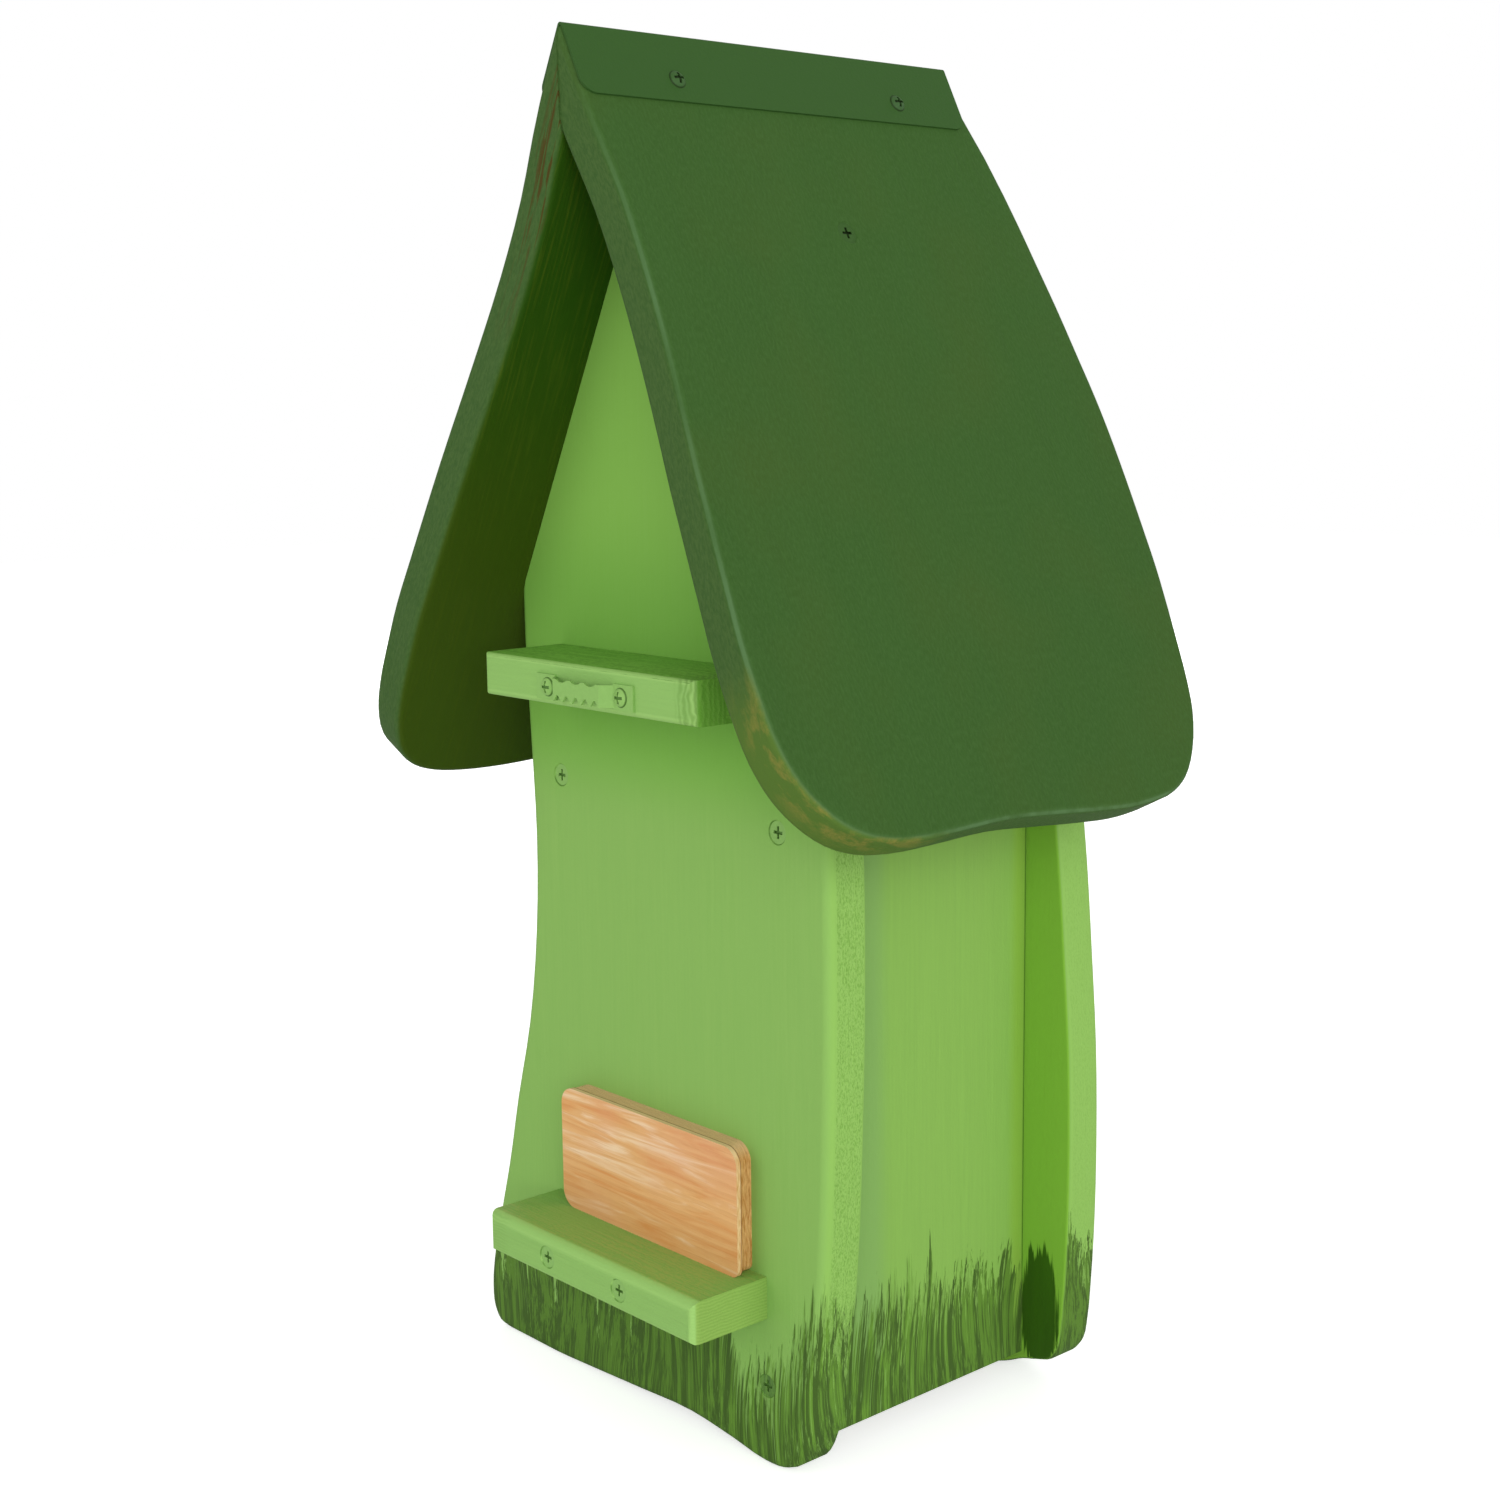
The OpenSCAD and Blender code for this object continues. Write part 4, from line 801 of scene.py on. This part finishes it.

# %% [markdown]
# ## Light green metal
#
# The hanger and the wall screws were painted over with the walls. The paint
# lies a little thicker and smoother on metal. Painted shade darkens the
# crosses, which begin a fifth of a millimetre under the heads' tops, and the
# foot of the hanger's pan heads.

# %% Hanger and wall screw paint
def wall_metal(name, node, codes, dark, dark_r=far, rim_to=off, grass_below=off, outward=1):
    """Green paint on metal in a wall.

    It gets painted shade between the two distances in dark, within dark_r of the
    pan heads' axes, and everywhere under rim_to. Outward is -1 for the front.
    """
    material, tree, _, point, axes = new_material(name, (1, outward, 1))
    grains = add(tree, "ShaderNodeTexNoise", {"Vector": point, "Scale": 0.7, "Detail": 3.0,
                 "Roughness": 0.6})
    tone = add(tree, "ShaderNodeMix", {0: grains, 6: colour(codes[0]), 7: colour(codes[1])},
               data_type="RGBA")
    coats = []
    low = add(tree, "ShaderNodeMapRange", {"Value": axes.outputs["Z"], "From Min": grass_below + 2,
              "From Max": grass_below - 2})
    daub = add(tree, "ShaderNodeMapping", {"Vector": point, "Scale": (1.1, 1.1, 0.12)})
    daub = add(tree, "ShaderNodeTexNoise", {"Vector": daub, "Scale": 1.0, "Detail": 3.0, "Roughness": 0.7})
    daub = add(tree, "ShaderNodeMapRange", {"Value": daub, "From Min": 0.35, "From Max": 0.6})
    daub = add(tree, "ShaderNodeMix", {0: daub, 6: colour("#42642A"), 7: colour("#628C3A")},
               data_type="RGBA")
    coats.append((low, daub))
    # Painted shade in the crosses of the screw heads.
    pit = add(tree, "ShaderNodeMapRange", {"Value": axes.outputs["Y"], "From Min": dark[0],
              "From Max": dark[1]})
    # The hanger's pan heads stand 18.4 mm to both sides of x = -4.6, at z = 250.
    near = near_pan_heads(tree, axes.outputs["X"], axes.outputs["Z"], -4.6, 18.4, 250.0, dark_r)
    pit = add(tree, "ShaderNodeMath", {0: pit, 1: near}, operation="MULTIPLY")
    coats.append((pit, colour("#567F36")))
    # Painted shade round the foot of the hanger's pan heads.
    rim = add(tree, "ShaderNodeMapRange", {"Value": axes.outputs["Y"], "From Min": rim_to + 0.2,
              "From Max": rim_to})
    coats.append((rim, colour("#4A7028")))
    dress([node], material, tone, coats, (grains, 0.35, 0.0002), (grains, 0.42, 0.62), 0.25)


wall_metal("painted_steel_hanger", "hanger_plate", ("#82B058", "#8EBB64"), dark=(60.0, 59.0), dark_r=0.0)
wall_metal("painted_steel_hanger_screws", "hanger_screws", ("#84B25A", "#92BF66"), dark=(86.45, 86.2),
           dark_r=2.0, rim_to=85.8)
wall_metal("painted_steel_back_screws", "back_board_screws", ("#7DAA54", "#8BB860"), dark=(51.85, 51.5),
           grass_below=44)
wall_metal("painted_steel_batten_screws", "lower_batten_screws", ("#80AE58", "#8FBC66"), dark=(82.85, 82.5))
wall_metal("painted_steel_front_screws", "front_board_screws", ("#7DAA54", "#8BB860"), dark=(71.05, 70.7),
           grass_below=48, outward=-1)

# %% [markdown]
# ## Plaque and bare wood
#
# The plaque's two layers are thin boards without paint, with the grain along
# X. The front layer is pale with warm patches, and the rear one is rough and
# darker at its sawn edges. The floor and the block under the ridge are plain
# softwood too, only less yellow.

# %% Bare wood
def bare_wood(name, nodes, codes, edge_codes, ring_tone, foot_tone, joint_y, rough):
    """Bare softwood with the grain along X, sawn edges and a dark joint at joint_y."""
    material, tree, place, point, axes = new_material(name)
    facing = add(tree, "ShaderNodeSeparateXYZ", {0: place.outputs["Normal"]})
    along = add(tree, "ShaderNodeCombineXYZ", {0: axes.outputs["Z"], 1: axes.outputs["Y"],
                2: axes.outputs["X"]})
    wood = add(tree, "ShaderNodeGroup", {"Point": along}, node_tree=softwood)
    coat = add(tree, "ShaderNodeGroup", {"Point": along}, node_tree=strokes)
    ring = add(tree, "ShaderNodeMath", {0: wood.outputs["Rings"], 1: ring_tone}, operation="MULTIPLY")
    tone = add(tree, "ShaderNodeMix", {0: ring, 6: colour(codes[0]), 7: colour(codes[1])}, data_type="RGBA")
    coats = []
    grain = add(tree, "ShaderNodeMapping", {"Vector": along, "Scale": (0.22, 0.22, 0.018),
                "Location": (3, 0, 9)})
    grain = add(tree, "ShaderNodeTexNoise", {"Vector": grain, "Scale": 1.0, "Detail": 5.0, "Roughness": 0.55,
                "Distortion": 0.9})
    warm = add(tree, "ShaderNodeMapRange", {"Value": grain, "From Min": 0.48, "From Max": 0.66,
               "To Max": 0.8})
    coats.append((warm, colour(codes[2])))
    pale = add(tree, "ShaderNodeMapRange", {"Value": grain, "From Min": 0.44, "From Max": 0.3,
               "To Max": 0.8})
    coats.append((pale, colour(codes[3])))
    spots = add(tree, "ShaderNodeMapRange", {"Value": coat.outputs["Blotch"], "From Min": 0.35,
                "To Max": 0.8})
    coats.append((spots, colour(codes[4])))
    thread = add(tree, "ShaderNodeMapRange", {"Value": wood.outputs["Fibre"], "From Min": 0.55,
                 "From Max": 0.7, "To Max": 0.35})
    coats.append((thread, colour(codes[1])))

    # The plaque gets darker towards its foot.
    foot = add(tree, "ShaderNodeMapRange", {"Value": axes.outputs["Z"], "From Min": 84.0, "From Max": 68.0,
               "To Max": foot_tone}, interpolation_type="SMOOTHSTEP")
    coats.append((foot, colour(codes[1])))

    # Sawn edges: darker, with short lines and pits.
    side = add(tree, "ShaderNodeMath", {0: facing.outputs["Y"]}, operation="ABSOLUTE")
    rim = add(tree, "ShaderNodeMapRange", {"Value": side, "From Min": 0.8, "From Max": 0.3})
    layer = add(tree, "ShaderNodeMapping", {"Vector": point, "Scale": (0.25, 1.6, 0.25)})
    layer = add(tree, "ShaderNodeTexNoise", {"Vector": layer, "Scale": 1.0, "Detail": 4.0,
                "Roughness": 0.7})
    layer = add(tree, "ShaderNodeMapRange", {"Value": layer, "From Min": 0.35, "From Max": 0.65})
    sawn = add(tree, "ShaderNodeMix", {0: layer, 6: colour(edge_codes[0]), 7: colour(edge_codes[1])},
               data_type="RGBA")
    # Edges that face up get a lighter tone: painted light on the top edges.
    upper = add(tree, "ShaderNodeMapRange", {"Value": facing.outputs["Z"], "From Min": 0.3, "From Max": 0.9,
                "To Max": 0.7})
    sawn = add(tree, "ShaderNodeMix", {0: upper, 6: sawn, 7: colour(edge_codes[2])}, data_type="RGBA")
    coats.append((rim, sawn))
    joint = add(tree, "ShaderNodeMath", {0: axes.outputs["Y"], 1: joint_y}, operation="SUBTRACT")
    joint = add(tree, "ShaderNodeMath", {0: joint}, operation="ABSOLUTE")
    joint = add(tree, "ShaderNodeMapRange", {"Value": joint, "From Min": 0.5, "From Max": 0.15,
                "To Max": 0.85})
    coats.append((joint, colour("#834C1C")))

    relief = add(tree, "ShaderNodeMath", {0: wood.outputs["Fibre"], 1: layer})
    dress(nodes, material, tone, coats, (relief, rough, 0.00016), (wood.outputs["Fibre"], 0.5, 0.75), 0.25)


# The plaque's two layers meet in the plane y = 58.4.
meet = 58.4
bare_wood("oiled_softwood_plaque", ["plaque_face"],
          codes=("#E6B376", "#C4854A", "#D88F4A", "#F4D8B2", "#E4A27E"),
          edge_codes=("#D29C5E", "#F0CB9A", "#F0CDA2"), ring_tone=0.25, foot_tone=0.25, joint_y=meet, rough=0.4)
bare_wood("rough_softwood_plaque_back", ["plaque_base"],
          codes=("#D8A464", "#B5783A", "#C68A4A", "#DFAC6E", "#CC9052"),
          edge_codes=("#BE7C38", "#F2BE7E", "#EFC89C"), ring_tone=0.5, foot_tone=0.3, joint_y=meet, rough=0.8)
bare_wood("plain_softwood", ["floor_board", "ridge_block"],
          codes=("#D9B483", "#B98A54", "#CBA06A", "#E0C096", "#D2AA78"),
          edge_codes=("#BE925C", "#D8B27F", "#D8B27F"), ring_tone=0.9, foot_tone=0.0, joint_y=far, rough=0.4)
